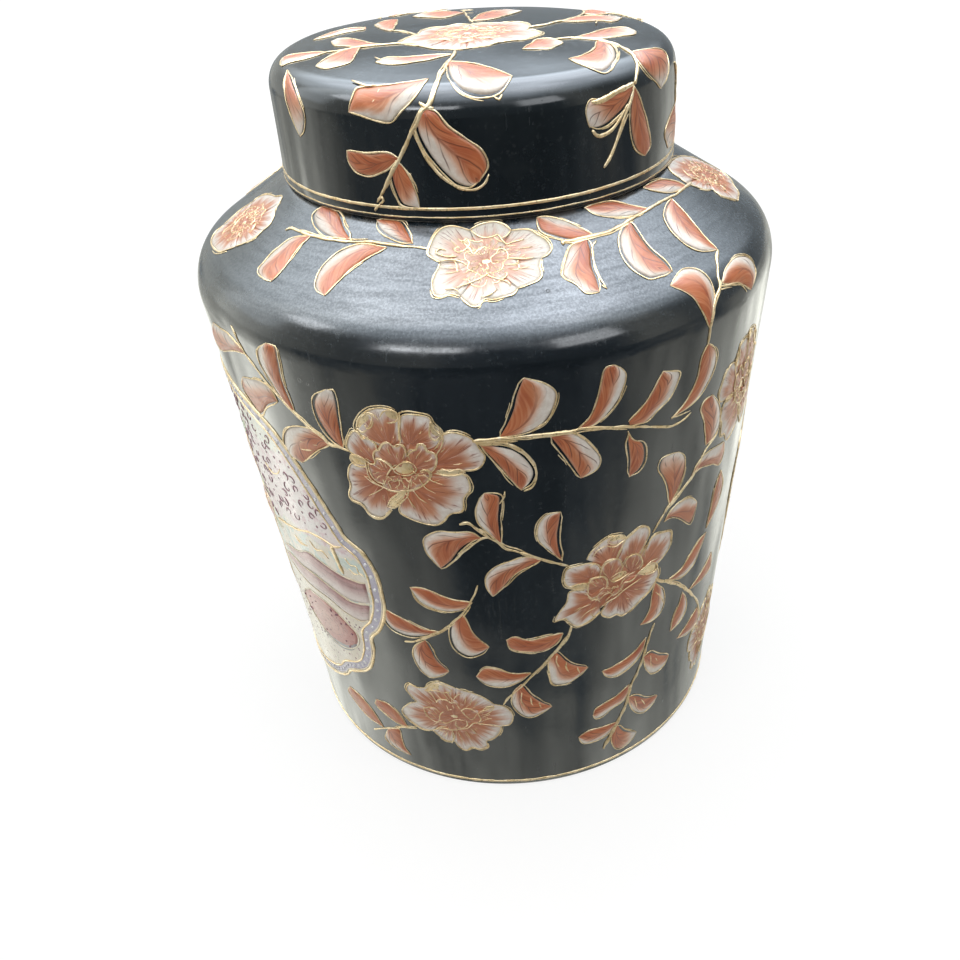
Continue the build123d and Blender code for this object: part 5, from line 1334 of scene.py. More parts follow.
def turned(name, line, kind, zone, mats, body):
    line = divided(line, 2.4)
    keep = [0]
    for i in range(1, len(line)):
        if np.linalg.norm(line[i] - line[keep[-1]]) > 0.12:
            keep.append(i)
    line = line[keep]
    seg = min(288, 98000 // len(line))  # under 200,000 triangles, so that no copy of the mesh is thinned
    skin = SKIN[kind]
    d = np.linalg.norm(line[:, None, :] - skin.P[None], axis=2)
    j, dist = d.argmin(1), d.min(1)
    on = dist < 0.15
    th = np.linspace(0, 2 * math.pi, seg, endpoint=False)
    inner = line[1:-1]
    rows = []
    for i in range(1, len(line) - 1):
        r, z = line[i]
        if on[i]:
            s = skin.S[j[i]]
            w = ripple(th, s, skin.length)
            nr, nz = skin.N[j[i]]
            rr, zz = r + nr * w, z + nz * w
        else:
            rr, zz = np.full(seg, r), np.full(seg, z)
        rows.append(np.stack([rr * np.sin(th), -rr * np.cos(th), zz], 1))
    V = np.vstack([np.vstack(rows), [[0, 0, line[0][1]]], [[0, 0, line[-1][1]]]])
    nr = len(inner)
    q = grid_faces(nr, seg, wrap=True)
    i = np.arange(seg)
    k = (i + 1) % seg
    a, b = nr * seg, nr * seg + 1
    t1 = np.stack([k, i, np.full(seg, a)], 1)
    t2 = np.stack([(nr - 1) * seg + i, (nr - 1) * seg + k, np.full(seg, b)], 1)
    fm = []
    for m in range(nr - 1):
        fm += [zone(*(0.5 * (inner[m] + inner[m + 1])))] * seg
    fm += [zone(*inner[0])] * seg + [zone(*inner[-1])] * seg
    acc = Acc()
    acc.add(V, q, np.vstack([t1, t2]))
    ob = to_mesh(name, acc, mats, body, face_mats=fm)
    return ob


inner_corner_z = CORNER_Z - WALL * (
    math.hypot(CORNER_R - SEAT_R, SEAT_Z - CORNER_Z) - (SEAT_Z - CORNER_Z)
) / (CORNER_R - SEAT_R)
JAR_LINE = rounded(
    [
        (0, RECESS_D),
        (RECESS_R - 1.5, RECESS_D),
        (RECESS_R, 0),
        (FOOT_R, 0),
        (CORNER_R, CORNER_Z),
        (SEAT_R, SEAT_Z),
        (NECK_R, SEAT_Z),
        (NECK_R, NECK_Z),
        (NECK_IN, NECK_Z),
        (NECK_IN, SEAT_Z - WALL),
        (wall_radius(inner_corner_z) - WALL, inner_corner_z),
        (wall_radius(FLOOR_Z) - WALL, FLOOR_Z),
        (0, FLOOR_Z),
    ],
    {1: 1.2, 2: 1.0, 3: 1.6, 4: SHOULDER_ROUND, 6: 1.2, 7: 2.2, 8: 2.2, 9: 6.0,
     10: SHOULDER_ROUND - WALL, 11: 9.0},
    0.6,
)


def jar_zone(r, z):
    if z < 0.7 and r > RECESS_R - 0.2:
        return 2
    if z < RECESS_D + 0.6 and r < RECESS_R + 0.2:
        return 1
    if z > NECK_Z - 1.1:
        return 2
    if z > SEAT_Z - 0.4 and r < SEAT_R - 1.0:
        return 1
    if r < wall_radius(z) - 2.5 and not (z > CORNER_Z - 16 and r > SEAT_R - 1.2 and z > shoulder_z(r) - 2.5):
        return 1
    return 0


def shoulder_z(r):
    return CORNER_Z + (SEAT_Z - CORNER_Z) * (CORNER_R - r) / (CORNER_R - SEAT_R)


jar = turned("jar_body_glazed", JAR_LINE, "b", jar_zone, [M_BODY, M_WHITE, M_BISCUIT], "jar")
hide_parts("jar_body")

_roof = [
    (r, float(dome_z(r, LID_IN_TOP, ROOF_Z, ROOF_CROWN)))
    for r in np.linspace(0, LID_IN_TOP, 40)
]
_top = [
    (r, float(dome_z(r, LID_TOP_R, LID_SHOULDER_Z, CROWN_Z)))
    for r in np.linspace(LID_TOP_R, 0, 60)
]
# the rolled top edge swallows the first stretch of the dome
_low = rounded(_roof[:-3] + [_roof[-1]] + [(LID_IN, SEAT_Z), (LID_R, SEAT_Z), (LID_R - 0.6, (SEAT_Z + LID_SHOULDER_Z) / 2)],
               {len(_roof) - 3: 3.5, len(_roof) - 2: 0.9, len(_roof) - 1: 0.9}, 0.4)
_skin = SKIN["l"].P
_up = _skin[_skin[:, 1] > SEAT_Z + 6]
_first = int(np.argmax(SKIN["l"].S > 6.0))
LID_FULL = np.vstack([_low[:-1], _skin[_first:][:-1], [(0, CROWN_Z)]])


def lid_zone(r, z):
    if z < SEAT_Z + 0.35 and r < LID_R - 0.5:
        return 2
    roof = float(dome_z(min(r, LID_IN_TOP), LID_IN_TOP, ROOF_Z, ROOF_CROWN))
    if r < LID_IN + 0.6 and z < roof + 1.0:
        return 1
    return 0


lid = turned("lid_glazed", LID_FULL, "l", lid_zone, [M_LID, M_WHITE, M_BISCUIT], "lid")
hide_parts("lid")

# ---------------------------------------------------------------------------
# Fired gold lines round the foot and the lid
# ---------------------------------------------------------------------------
rng = np.random.RandomState(11)
acc = Acc()
turn = np.linspace(0, 362, 46)
bead(acc, "b", [(a, 3.3 + 0.10 * math.sin(a * 0.05 + 1)) for a in turn], 0.62, None, rng, h=0.04, wob=0.10, taper=False, flat=0.45, step=1.2)
foot_line = to_mesh("foot_gold_line_painted", acc, [M_GOLD], "jar")
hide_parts("foot_gold_line")


def lid_ring(s, wave=0.1, ph=0.0):
    out = []
    for a in np.linspace(0, 2 * math.pi, 60, endpoint=False):
        q = LT - (s + wave * math.sin(2 * a + ph))
        out.append((q * math.sin(a), -q * math.cos(a)))
    return out


acc = Acc()
bead(acc, "l", lid_ring(3.6), 0.42, None, rng, h=0.03, wob=0.05, closed=True, flat=0.42, step=2.4, swell=0.16)
band = to_mesh("lid_gold_band_painted", acc, [M_GOLD], "lid_lifter")
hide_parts("lid_gold_band")
acc = Acc()
bead(acc, "l", lid_ring(1.3, 0.08, 1.0), 0.19, None, rng, h=0.04, wob=0.08, closed=True, flat=0.5, step=1.2)
edge_line = to_mesh("lid_edge_line_painted", acc, [M_GOLD], "lid_lifter")
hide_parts("lid_edge_gold_line")

# ---------------------------------------------------------------------------
# Flowers
# ---------------------------------------------------------------------------


def flower(paint, gold, kind, name, centre, rim, cusps, seed, tf=lambda p: p, mid=True, mid_lines=True, pale=0.0):
    rng = np.random.RandomState(seed)
    c = np.array(tf(centre), float)
    bed = [tuple(c + 0.80 * (np.array(tf(p), float) - c)) for p in rim]
    blob(paint, kind, bed, 0.16, seed, rings=9, n=48, white=0.0, tier=1.0)
    if name in PETALS:
        for n, (tier, root, edge) in enumerate(PETALS[name]):
            petal(paint, gold, kind, tf(root), [tf(p) for p in edge], tier, seed + 7 * n, pale=pale)
    else:
        R = [tf(p) for p in rim]
        n = len(cusps)
        for i in range(n):
            a, b = cusps[i], cusps[(i + 1) % n]
            seg = R[a : b + 1] if b > a else R[a:] + R[: b + 1]
            m = np.mean(np.array(seg), 0)
            petal(paint, gold, kind, tuple(c + 0.10 * (m - c)), seg, 0, seed + 7 * i, pale=pale)
        if mid:
            ci = iso(kind, c)
            O = iso(kind, np.array(R, float)) - ci
            ang = np.arctan2(O[:, 1], O[:, 0])
            rad = np.hypot(O[:, 0], O[:, 1])
            o = np.argsort(ang)
            ang, rad = ang[o], rad[o]
            ang = np.concatenate([ang - 2 * math.pi, ang, ang + 2 * math.pi])
            rad = np.tile(rad, 3)
            for tier, f, k in ((1, 0.60, 6), (2, 0.36, 5)):
                ph = rng.uniform(0, 6.28)
                for i in range(k):
                    a0, a1 = ph + i * 2 * math.pi / k, ph + (i + 1.12) * 2 * math.pi / k
                    u = np.linspace(0, 1, 11)
                    q = a0 + (a1 - a0) * u
                    q = (q + math.pi) % (2 * math.pi) - math.pi
                    rr = np.interp(q, ang, rad) * f
                    rr = rr * (0.74 + 0.26 * np.sin(np.pi * u) ** 0.6) * (1 + 0.05 * np.sin(u * 14 + i))
                    p = np.stack([np.cos(q), np.sin(q)], 1) * rr[:, None] + ci
                    if kind == "b":
                        p[:, 0] /= DEG
                    petal(paint, gold, kind, tuple(c), [tuple(x) for x in p], tier, seed + 50 * tier + i,
                          line=mid_lines, nu=20, nv=9, pale=pale)
            oval = [tuple(c + np.array([math.cos(a) * (2.6 / DEG if kind == "b" else 2.6), math.sin(a) * 1.5])) for a in np.linspace(0, 2 * math.pi, 9)[:-1]]
            blob(gold, kind, oval, 0.75, seed, rings=5, n=20)
    for g, w, P in PATCHES:
        if g == name and w == kind:
            P2 = [tf(p) for p in P]
            blob(gold, kind, P2, 0.30 if name != "s1" else 0.4, seed, rings=5, n=30)
            bead(gold, kind, P2 + [P2[0]], 0.26, None, rng, h=0.34, wob=0.05)
    skip_lines = name in PETALS
    for g, w, P, r in STROKES:
        if g == name and w == kind:
            if skip_lines and r > 0.3:
                bead(gold, kind, [tf(p) for p in P], 0.25, 0.19, rng, h=0.60, wob=0.14)
                continue
            bead(gold, kind, [tf(p) for p in P], r * 0.70, r * 0.55, rng, h=0.62 if not skip_lines else 0.75, wob=0.1)


def finish_flower(tag, where, body, slot, paint_mat, args, **kw):
    paint, gold = Acc(), Acc()
    flower(paint, gold, *args, **kw)
    to_mesh(tag + "_petals", paint, [paint_mat], body)
    to_mesh(tag + "_gilding", gold, [M_GOLD], body)


FL = {f[0]: f for f in FLOWERS}


def args_of(n, seed):
    name, kind, centre, rim, cusps = FL[n]
    return (kind, name, centre, rim, cusps, seed)


def half_turn(p):
    return (p[0] + 180 + 1.3 * math.sin(p[1] / 23.0), p[1] + 1.6 * math.sin(math.radians(2 * p[0]) + 1.0))


def far_one(p):
    return (57.6 - (p[0] + 17.6) * 0.72, 159.0 + (p[1] - 160.5) * 0.92)


def far_two(p):
    return (60.5 - (p[0] + 15.8) * 0.66, 42.0 + (p[1] - 44.9) * 1.05)


finish_flower("flower_upper_left", "front", "jar", "black_glaze", M_PETAL, args_of("f1", 101))
finish_flower("flower_centre", "front", "jar", "black_glaze", M_PETAL, args_of("f2", 202))
finish_flower("flower_lower_left", "front", "jar", "black_glaze", M_PETAL, args_of("f3", 303), mid_lines=False)
finish_flower("flower_upper_right", "front", "jar", "black_glaze", M_PETAL, args_of("f1", 404), tf=far_one)
finish_flower("flower_lower_right", "front", "jar", "black_glaze", M_PETAL, args_of("f3", 505), tf=far_two, mid_lines=False)
finish_flower("shoulder_flower_front", "front", "jar", "black_glaze", M_PETAL_PALE, args_of("s1", 606), mid_lines=True, pale=0.36)
finish_flower("shoulder_flower_left", "front", "jar", "black_glaze", M_PETAL, args_of("s2", 707))
finish_flower("shoulder_flower_right", "front", "jar", "black_glaze", M_PETAL, args_of("s3", 808))

paint, gold = Acc(), Acc()
for n, sd, tf, lines in (
    ("f1", 901, half_turn, True),
    ("f2", 902, half_turn, True),
    ("f3", 903, half_turn, False),
    ("f1", 904, lambda p: half_turn(far_one(p)), True),
    ("f3", 905, lambda p: half_turn(far_two(p)), False),
):
    flower(paint, gold, *args_of(n, sd), tf=tf, mid_lines=lines)
to_mesh("back_flowers_petals", paint, [M_PETAL], "jar")
to_mesh("back_flowers_gilding", gold, [M_GOLD], "jar")
paint, gold = Acc(), Acc()
flower(paint, gold, *args_of("s1", 906), tf=lambda p: (p[0] + 147, p[1] + 1.0), mid_lines=False, pale=0.2)
flower(paint, gold, *args_of("s1", 907), tf=lambda p: (-p[0] - 141, p[1] - 1.0), mid_lines=False, pale=0.1)
to_mesh("back_shoulder_flowers_petals", paint, [M_PETAL_PALE], "jar")
to_mesh("back_shoulder_flowers_gilding", gold, [M_GOLD], "jar")

# ---------------------------------------------------------------------------
# Sprays of leaves
# ---------------------------------------------------------------------------
SPRAYS = {
    "upper": ["b01", "b02", "b03", "b04", "b05", "b06", "b07"],
    "corner": ["b40", "b41", "b42", "b43", "b44"],
    "right": ["b08", "b09", "b10", "b11", "b13", "b14", "b15"],
    "edge": ["b16", "b17", "b18"],
    "left": ["b19", "b20", "b21", "b22"],
    "lower_left": ["b23", "b24", "b25", "b26"],
    "bottom": ["b27", "b28", "b29", "b30"],
    "foot_left": ["b31", "b32", "b33"],
    "rope": ["b34", "b35", "b36", "b37", "b38", "b39"],
    "shoulder_left": ["s01", "s02", "s03", "s04"],
    "shoulder_right": ["s05", "s06", "s07", "s08", "s09", "s10"],
    "shoulder_fall": ["s11", "s12"],
    "lid_top_left": ["l01", "l02", "l03", "l04", "l05", "l08"],
    "lid_top_right": ["l06", "l07", "l09", "l10", "l11", "l12", "l13", "l14"],
    "lid_wall_left": ["l15", "l16", "l17", "l18", "l19", "l20"],
    "lid_wall_right": ["l21", "l22", "l23"],
}
GILD = {
    "upper": ["upper", "corner"],
    "middle": ["right", "edge", "left"],
    "lower": ["lower_left", "bottom", "foot_left", "rope"],
    "shoulder": ["shoulder_left", "shoulder_right", "shoulder_fall"],
    "lid_top": ["lid_top_left", "lid_top_right"],
    "lid_wall": ["lid_wall_left", "lid_wall_right"],
}
STEM_OF = {
    "upper": ["t01", "t01b", "t14", "t08"],
    "middle": ["t02", "t03", "t03b", "t09"],
    "lower": ["t04", "t05", "t06", "t07"],
    "shoulder": ["t10", "t11", "t12", "t13"],
    "lid_top": ["u01", "u02", "u03", "u04", "u08"],
    "lid_wall": ["u05", "u06", "u07"],
}
LEAF = {x[0]: x for x in LEAVES}
STEM = {x[0]: x for x in STEMS}
STEM_NAMES = {x[0] for x in STEMS}


def draw_leaf(paint, gold, name, seed, tf=lambda p: p):
    _, kind, A, B, white, gap = LEAF[name]
    leaf(paint, gold, kind, [tf(p) for p in A], [tf(p) for p in B], white, gap, seed)
    rng = np.random.RandomState(seed + 5)
    for g, w, P, r in STROKES:
        if g == name:
            bead(gold, w, [tf(p) for p in P], r, r * 0.8, rng, h=0.38 if r < 0.36 else 0.14, wob=0.12)


def draw_stem(gold, name, seed, tf=lambda p: p, cut=None):
    _, kind, P, r0, r1, style = STEM[name]
    P = [tf(p) for p in (P if cut is None else P[cut[0] : cut[1]])]
    rng = np.random.RandomState(seed)
    if style == "rope":
        rope(gold, kind, P, r0, r1, rng)
        return
    bead(gold, kind, P, r0 * 0.72, r1 * 0.72, rng, h=0.12, wob=0.2, swell=0.3)
    # a second, thinner pass of gold beside part of the stem
    c = spline(P, 8)
    n = len(c)
    if n > 20:
        i0 = rng.randint(0, n // 3)
        i1 = min(n, i0 + n // 2)
        T = np.gradient(iso(kind, c), axis=0)
        T /= np.maximum(1e-6, np.linalg.norm(T, axis=1))[:, None]
        side = iso(kind, c) + np.stack([-T[:, 1], T[:, 0]], 1) * (0.75 * rng.choice([-1, 1]))
        if kind == "b":
            side[:, 0] /= DEG
        bead(gold, kind, side[i0:i1:3], 0.27, 0.22, rng, h=0.08, wob=0.25)
    for g, w, Q, r in STROKES:
        if g == name:
            bead(gold, w, [tf(p) for p in Q], r, r * 0.8, rng, h=0.2, wob=0.1)


for tag, groups in GILD.items():
    on_lid = tag.startswith("lid")
    body, slot = ("lid", "lid_glaze") if on_lid else ("jar", "black_glaze")
    gold = Acc()
    for g in groups:
        paint = Acc()
        for i, n in enumerate(SPRAYS[g]):
            draw_leaf(paint, gold, n, 1000 + 17 * i + sum(map(ord, n)))
        to_mesh(("" if on_lid else "spray_") + g + "_leaves", paint, [M_LEAF], body)
    for i, n in enumerate(STEM_OF[tag]):
        draw_stem(gold, n, 3000 + 13 * i + sum(map(ord, n)))
    to_mesh("gilding_" + tag, gold, [M_GOLD], body)

# the same planting on the far side of the jar, half a turn round
for tag, groups in (("upper", ["upper", "corner"]), ("middle", ["right", "edge", "left"]),
                    ("lower", ["lower_left", "bottom", "foot_left", "rope"])):
    paint, gold = Acc(), Acc()
    for g in groups:
        for i, n in enumerate(SPRAYS[g]):
            draw_leaf(paint, gold, n, 5000 + 19 * i + sum(map(ord, n)), half_turn)
    for i, n in enumerate(STEM_OF[tag]):
        draw_stem(gold, n, 6000 + 11 * i + sum(map(ord, n)), half_turn)
    to_mesh("back_sprays_" + tag + "_leaves", paint, [M_LEAF], "jar")
    to_mesh("back_gilding_" + tag, gold, [M_GOLD], "jar")

paint, gold = Acc(), Acc()
for names, stems, tf in (
    (["s02", "s03", "s04"], [("t10", (3, 12))], lambda p: (147 + p[0] * 0.92, p[1] + 0.8)),
    (["s05", "s06", "s08", "s09"], [("t11", (0, 12))], lambda p: (147 + p[0] * 0.80, p[1] + 0.5)),
    (["s05", "s06", "s08", "s09"], [("t11", (0, 12))], lambda p: (-141 - p[0] * 0.72, p[1] - 1.0)),
    (["s01", "s02", "s03", "s04"], [("t10", (0, 12))], lambda p: (-141 - p[0] * 0.70, p[1] - 0.5)),
):
    for i, n in enumerate(names):
        draw_leaf(paint, gold, n, 7000 + 23 * i + sum(map(ord, n)), tf)
    for n, cut in stems:
        draw_stem(gold, n, 7500 + sum(map(ord, n)), tf, cut)
to_mesh("back_shoulder_leaves", paint, [M_LEAF], "jar")
to_mesh("back_gilding_shoulder", gold, [M_GOLD], "jar")

# the lid's flower, and sprays on the unseen part of the lid's wall
finish_flower("lid_flower", "lid", "lid", "lid_glaze", M_PETAL, args_of("lt", 909), pale=0.02)


def spun(deg):
    a = math.radians(deg)
    return lambda p: (p[0] * math.cos(a) - p[1] * math.sin(a), p[0] * math.sin(a) + p[1] * math.cos(a))


paint, gold = Acc(), Acc()
for deg, names, stems in (
    (140, ["l16", "l17", "l18", "l19"], [("u06", (4, 16))]),
    (205, ["l21", "l22"], [("u07", (0, 8))]),
    (222, ["l16", "l17", "l18", "l19"], [("u06", (4, 16))]),
):
    for i, n in enumerate(names):
        draw_leaf(paint, gold, n, 8000 + 29 * i + deg, spun(deg))
    for n, cut in stems:
        draw_stem(gold, n, 8500 + deg, spun(deg), cut)
to_mesh("lid_back_leaves", paint, [M_LEAF], "lid")
to_mesh("lid_back_gilding", gold, [M_GOLD], "lid")

# ---------------------------------------------------------------------------
# Cartouches: a lobed panel on the left, and its twin half a turn round
# ---------------------------------------------------------------------------
MED_AXIS, MED_S = -70.0, 104.0


def inside(poly, p):
    x, y = p
    hit = False
    n = len(poly)
    for i in range(n):
        x0, y0 = poly[i]
        x1, y1 = poly[(i + 1) % n]
        if (y0 > y) != (y1 > y) and x < (x1 - x0) * (y - y0) / (y1 - y0) + x0:
            hit = not hit
    return hit


def loop_of(shift):
    right = [(a + shift, s) for a, s in MED_HALF]
    left = [(2 * MED_AXIS - a + shift, s) for a, s in MED_HALF[::-1]][1:-1]
    return right + left


def ribbon(acc, kind, top, bottom, height, seed, nu=34, nv=9):
    a, _ = even(kind, top, count=nu)
    b, _ = even(kind, bottom, count=nu)
    v = np.linspace(0, 1, nv)
    G = a[None] * (1 - v)[:, None, None] + b[None] * v[:, None, None]
    U, V = np.meshgrid(np.linspace(0, 1, nu), v)
    H = 0.08 + height * np.sin(np.pi * V) ** 0.7 * (0.4 + 0.6 * np.sin(np.pi * U) ** 0.5)
    plate(acc, kind, G, H, along=V, across=U, seed=(seed * 0.37) % 1)


def cartouche(tag, shift, seed):
    rng = np.random.RandomState(seed)
    loop, length = even("b", loop_of(shift), count=301, closed=True)
    loop = loop[:-1]
    n = len(loop)
    mid = np.array([MED_AXIS + shift, MED_S])
    k = np.concatenate([np.linspace(1, 0.88, 8), np.linspace(0.84, 0.04, 20)])
    G = mid + (loop[None] - mid) * k[:, None, None]
    H = np.full(G.shape[:2], 0.10)
    H[0] = 0.02
    H[1:] += 0.03 * np.sin(G[1:, :, 1] * 0.35) * np.sin(np.radians(G[1:, :, 0]) * 9)
    rows = len(k)
    skirt = place("b", loop[None], np.full((1, n), -0.16))
    V = np.vstack([skirt.reshape(-1, 3), place("b", G, H).reshape(-1, 3),
                   place("b", mid[None], 0.10), place("b", mid[None], -0.16)])
    q = grid_faces(rows + 1, n, wrap=True)
    i = np.arange(n)
    j = (i + 1) % n
    tris = np.vstack([np.stack([rows * n + i, rows * n + j, np.full(n, (rows + 1) * n)], 1),
                      np.stack([j, i, np.full(n, (rows + 1) * n + 1)], 1)])
    e1 = place("b", loop[:1])[0] - place("b", mid[None])[0]
    e2 = place("b", loop[n // 5 : n // 5 + 1])[0] - place("b", mid[None])[0]
    if np.cross(e1, e2) @ normal("b", mid[None])[0] < 0:
        q, tris = q[:, ::-1], tris[:, ::-1]
    par = np.vstack([loop, G.reshape(-1, 2), mid[None], mid[None]])
    L = iso("b", loop)
    pp = iso("b", par)
    edge = np.array([np.min(np.hypot(L[:, 0] - p[0], L[:, 1] - p[1])) for p in pp])
    acc = Acc()
    acc.add(V, q, tris)
    to_mesh(tag + "_ground", acc, [medallion_ground(tag + "_ground_enamel")], "jar",
            extra={"mx": (par[:, 0] - mid[0]) * DEG, "my": par[:, 1] - mid[1], "edge": edge})

    def inset(off):
        T = np.roll(L, -2, 0) - np.roll(L, 2, 0)
        N = np.stack([T[:, 1], -T[:, 0]], 1)
        N /= np.linalg.norm(N, axis=1)[:, None]
        if np.mean(np.sum(N * (L - L.mean(0)), 1)) > 0:
            N = -N
        for _ in range(3):
            N = (np.roll(N, 1, 0) + N + np.roll(N, -1, 0)) / 3
        P = L + N * off
        ok = np.array([np.min(np.hypot(L[:, 0] - p[0], L[:, 1] - p[1])) for p in P]) > off * 0.93
        P = P[ok].copy()
        P[:, 0] /= DEG
        return P

    lines, gold, pearls, plum = Acc(), Acc(), Acc(), Acc()
    bead(gold, "b", [tuple(p) for p in loop[::2]], 0.62, None, rng, h=0.10, wob=0.12, closed=True, per=3)
    bead(lines, "b", [tuple(p) for p in inset(0.95)[::2]], 0.40, None, rng, h=0.14, wob=0.10, closed=True, per=3)
    bead(gold, "b", [tuple(p) for p in inset(4.7)[::2]], 0.46, None, rng, h=0.16, wob=0.14, closed=True, per=3)
    track = iso("b", inset(2.85))
    s = arc_of(np.vstack([track, track[:1]]))
    at = 1.0
    closed = np.vstack([track, track[:1]])
    m = 0
    while at < s[-1] - 2.0:
        p = np.array([np.interp(at, s, closed[:, 0]) / DEG, np.interp(at, s, closed[:, 1])])
        dot(pearls, "b", p, 0.80 + 0.14 * rng.uniform(-1, 1), 0.55, m)
        at += (5.4 if p[1] > 62 else 3.3) * (1 + 0.08 * rng.uniform(-1, 1))
        m += 1
    to_mesh(tag + "_pearls", pearls, [M_PEARL], "jar")

    def S(pts):
        return [(a + shift, b) for a, b in pts]

    # rocks: two mauve bands and a brick lobe with a grey shade under it
    mauve, brick, shade, green = Acc(), Acc(), Acc(), Acc()
    t1 = S([(-65, 97), (-60, 101), (-54, 104.4), (-49.2, 108.4), (-44.1, 107.8), (-38.6, 106.3), (-33.8, 106.3), (-32.0, 106.8)])
    b1 = S([(-65, 97), (-60, 97), (-54, 97), (-48.1, 98), (-42.6, 96.4), (-37.7, 94.8), (-32.0, 97)])
    t2 = S([(-67, 91), (-61, 95.6), (-54, 96.6), (-48.1, 97.5), (-42.6, 95.9), (-37.7, 94.3), (-32.2, 96.5)])
    b2 = S([(-67, 91), (-61, 89), (-54.3, 88.2), (-46.2, 88.6), (-41.1, 86.3), (-36.4, 85.6), (-33.6, 88.0)])
    ribbon(mauve, "b", t1, b1, 0.34, 1)
    ribbon(mauve, "b", t2, b2, 0.34, 2)
    for e in (t1, t2, b2):
        bead(lines, "b", e, 0.30, 0.26, rng, h=0.20, wob=0.1)
    lobe = S([(-55.3, 84.3), (-47.3, 84.9), (-42.1, 81.0), (-38.6, 76.2), (-40.5, 68.1), (-45.6, 63.1), (-51.1, 62.8), (-57.5, 68.4), (-61, 76)])
    blob(brick, "b", lobe, 0.45, 3, rings=9, n=48)
    bead(lines, "b", lobe + [lobe[0]], 0.34, None, rng, h=0.16, wob=0.1)
    under = S([(-39.6, 74.0), (-39.4, 69.0), (-43.6, 62.6), (-50.5, 60.6), (-57, 64.5), (-52, 62.6), (-46.2, 63.8), (-41.8, 68.6)])
    blob(shade, "b", under, 0.24, 4, rings=5, n=40)
    for _ in range(150):
        p = (rng.uniform(-66, -37) + shift, rng.uniform(61, 95))
        lx = p[0] - shift
        if not inside([tuple(q) for q in inset(6.3)[::3]], p) or (lx > -58 and 86.0 < p[1] < 98.0 and lx > -40):
            continue
        if inside(lobe, p) and rng.uniform() < 0.75:
            continue
        if p[1] > 84.5 and not inside(lobe, p):
            continue
        dot(plum, "b", p, rng.uniform(0.38, 0.62), 0.22 if not inside(lobe, p) else 0.6, 5)
    # the same rocks, heaped the other way, on the far half of the panel
    within = [tuple(q) for q in inset(6.0)]

    def flip(pts, ds):
        out = []
        for a, b in pts:
            p = np.array([2 * (MED_AXIS + shift) - a + 1.0, b + ds])
            for _ in range(60):
                if inside(within, tuple(p)):
                    break
                p = mid + (p - mid) * 0.985
            out.append(tuple(p))
        return out

    ribbon(mauve, "b", flip(t1, -16), flip(b1, -16), 0.34, 5)
    ribbon(mauve, "b", flip(t2, -17), flip(b2, -17), 0.34, 6)
    for e in (flip(t1, -16), flip(t2, -17)):
        bead(lines, "b", e, 0.30, 0.26, rng, h=0.20, wob=0.1)
    lobe2 = [(2 * (MED_AXIS + shift) - a - 1.0, 0.62 * (b - 74) + 57.5) for a, b in lobe]
    centre2 = np.mean(np.array(lobe2), 0)
    goal = np.array([MED_AXIS + shift - 14.0, 66.5])
    lobe2 = [tuple(goal + 0.92 * (np.array(p) - centre2)) for p in lobe2]
    blob(brick, "b", lobe2, 0.45, 7, rings=9, n=48)
    bead(lines, "b", lobe2 + [lobe2[0]], 0.34, None, rng, h=0.16, wob=0.1)

    # blossoms and leaves growing from the rocks, in the middle and far half
    rose, rgold = Acc(), gold
    def bloom(cx, cy, R, petals, sd):
        c = (cx + shift, cy)
        rr = np.random.RandomState(sd)
        rim, cusps = [], []
        for i in range(petals):
            cusps.append(len(rim))
            a0 = 2 * math.pi * (i + 0.25 * rr.uniform(-1, 1)) / petals
            for u in (0.0, 0.18, 0.38, 0.6, 0.82):
                a = a0 + u * 2 * math.pi / petals
                q = R * (0.76 + 0.26 * math.sin(math.pi * u) ** 0.6 + 0.03 * math.sin(9 * u + i))
                rim.append((c[0] + q * math.cos(a) / DEG, c[1] + q * 0.92 * math.sin(a)))
        flower(rose, rgold, "b", "bloom", c, rim, cusps, sd)

    bloom(-78.0, 132.0, 14.5, 7, seed + 1)
    bloom(-95.5, 112.0, 11.5, 6, seed + 2)
    bloom(-70.5, 111.5, 8.5, 6, seed + 3)

    def sprig(base, tip, width, sd, acc_):
        a = np.array(base, float)
        b = np.array(tip, float)
        d = (b - a) * np.array([DEG, 1])
        nrm = np.array([-d[1], d[0]]) / max(1e-6, np.linalg.norm(d)) * width
        nrm = nrm / np.array([DEG, 1])
        A_ = [a, a + (b - a) * 0.35 + nrm, a + (b - a) * 0.7 + nrm * 0.8, b]
        B_ = [a, a + (b - a) * 0.35 - nrm, a + (b - a) * 0.7 - nrm * 0.7, b]
        leaf(acc_, lines, "b", S([tuple(p) for p in A_]), S([tuple(p) for p in B_]), "N", "", sd)

    for i, (p0, p1, w) in enumerate((
        ((-71.5, 141.0), (-65.0, 150.5), 2.3), ((-84.5, 142.0), (-92.5, 150.0), 2.6), ((-77.0, 146.0), (-76.0, 158.0), 2.5),
        ((-69.5, 127.0), (-63.0, 121.5), 2.2), ((-86.5, 124.5), (-90.0, 130.5), 1.9), ((-102.0, 118.0), (-106.5, 127.0), 2.0),
        ((-101.0, 106.5), (-107.0, 101.0), 1.9), ((-90.0, 105.0), (-84.0, 99.5), 2.0), ((-75.5, 106.0), (-79.5, 99.5), 1.9),
        ((-66.0, 108.5), (-60.5, 109.0), 1.6))):
        sprig(p0, p1, w, seed + 40 + i, green)
    for P, r in (([(-80, 120), (-81, 108), (-78, 96), (-74, 84), (-71, 72)], 0.5), ([(-95, 103), (-92, 96), (-86, 90), (-79, 84)], 0.45),
                 ([(-72, 104), (-73, 96), (-74, 88)], 0.4)):
        bead(gold, "b", S(P), r, r * 0.7, rng, h=0.18, wob=0.25)

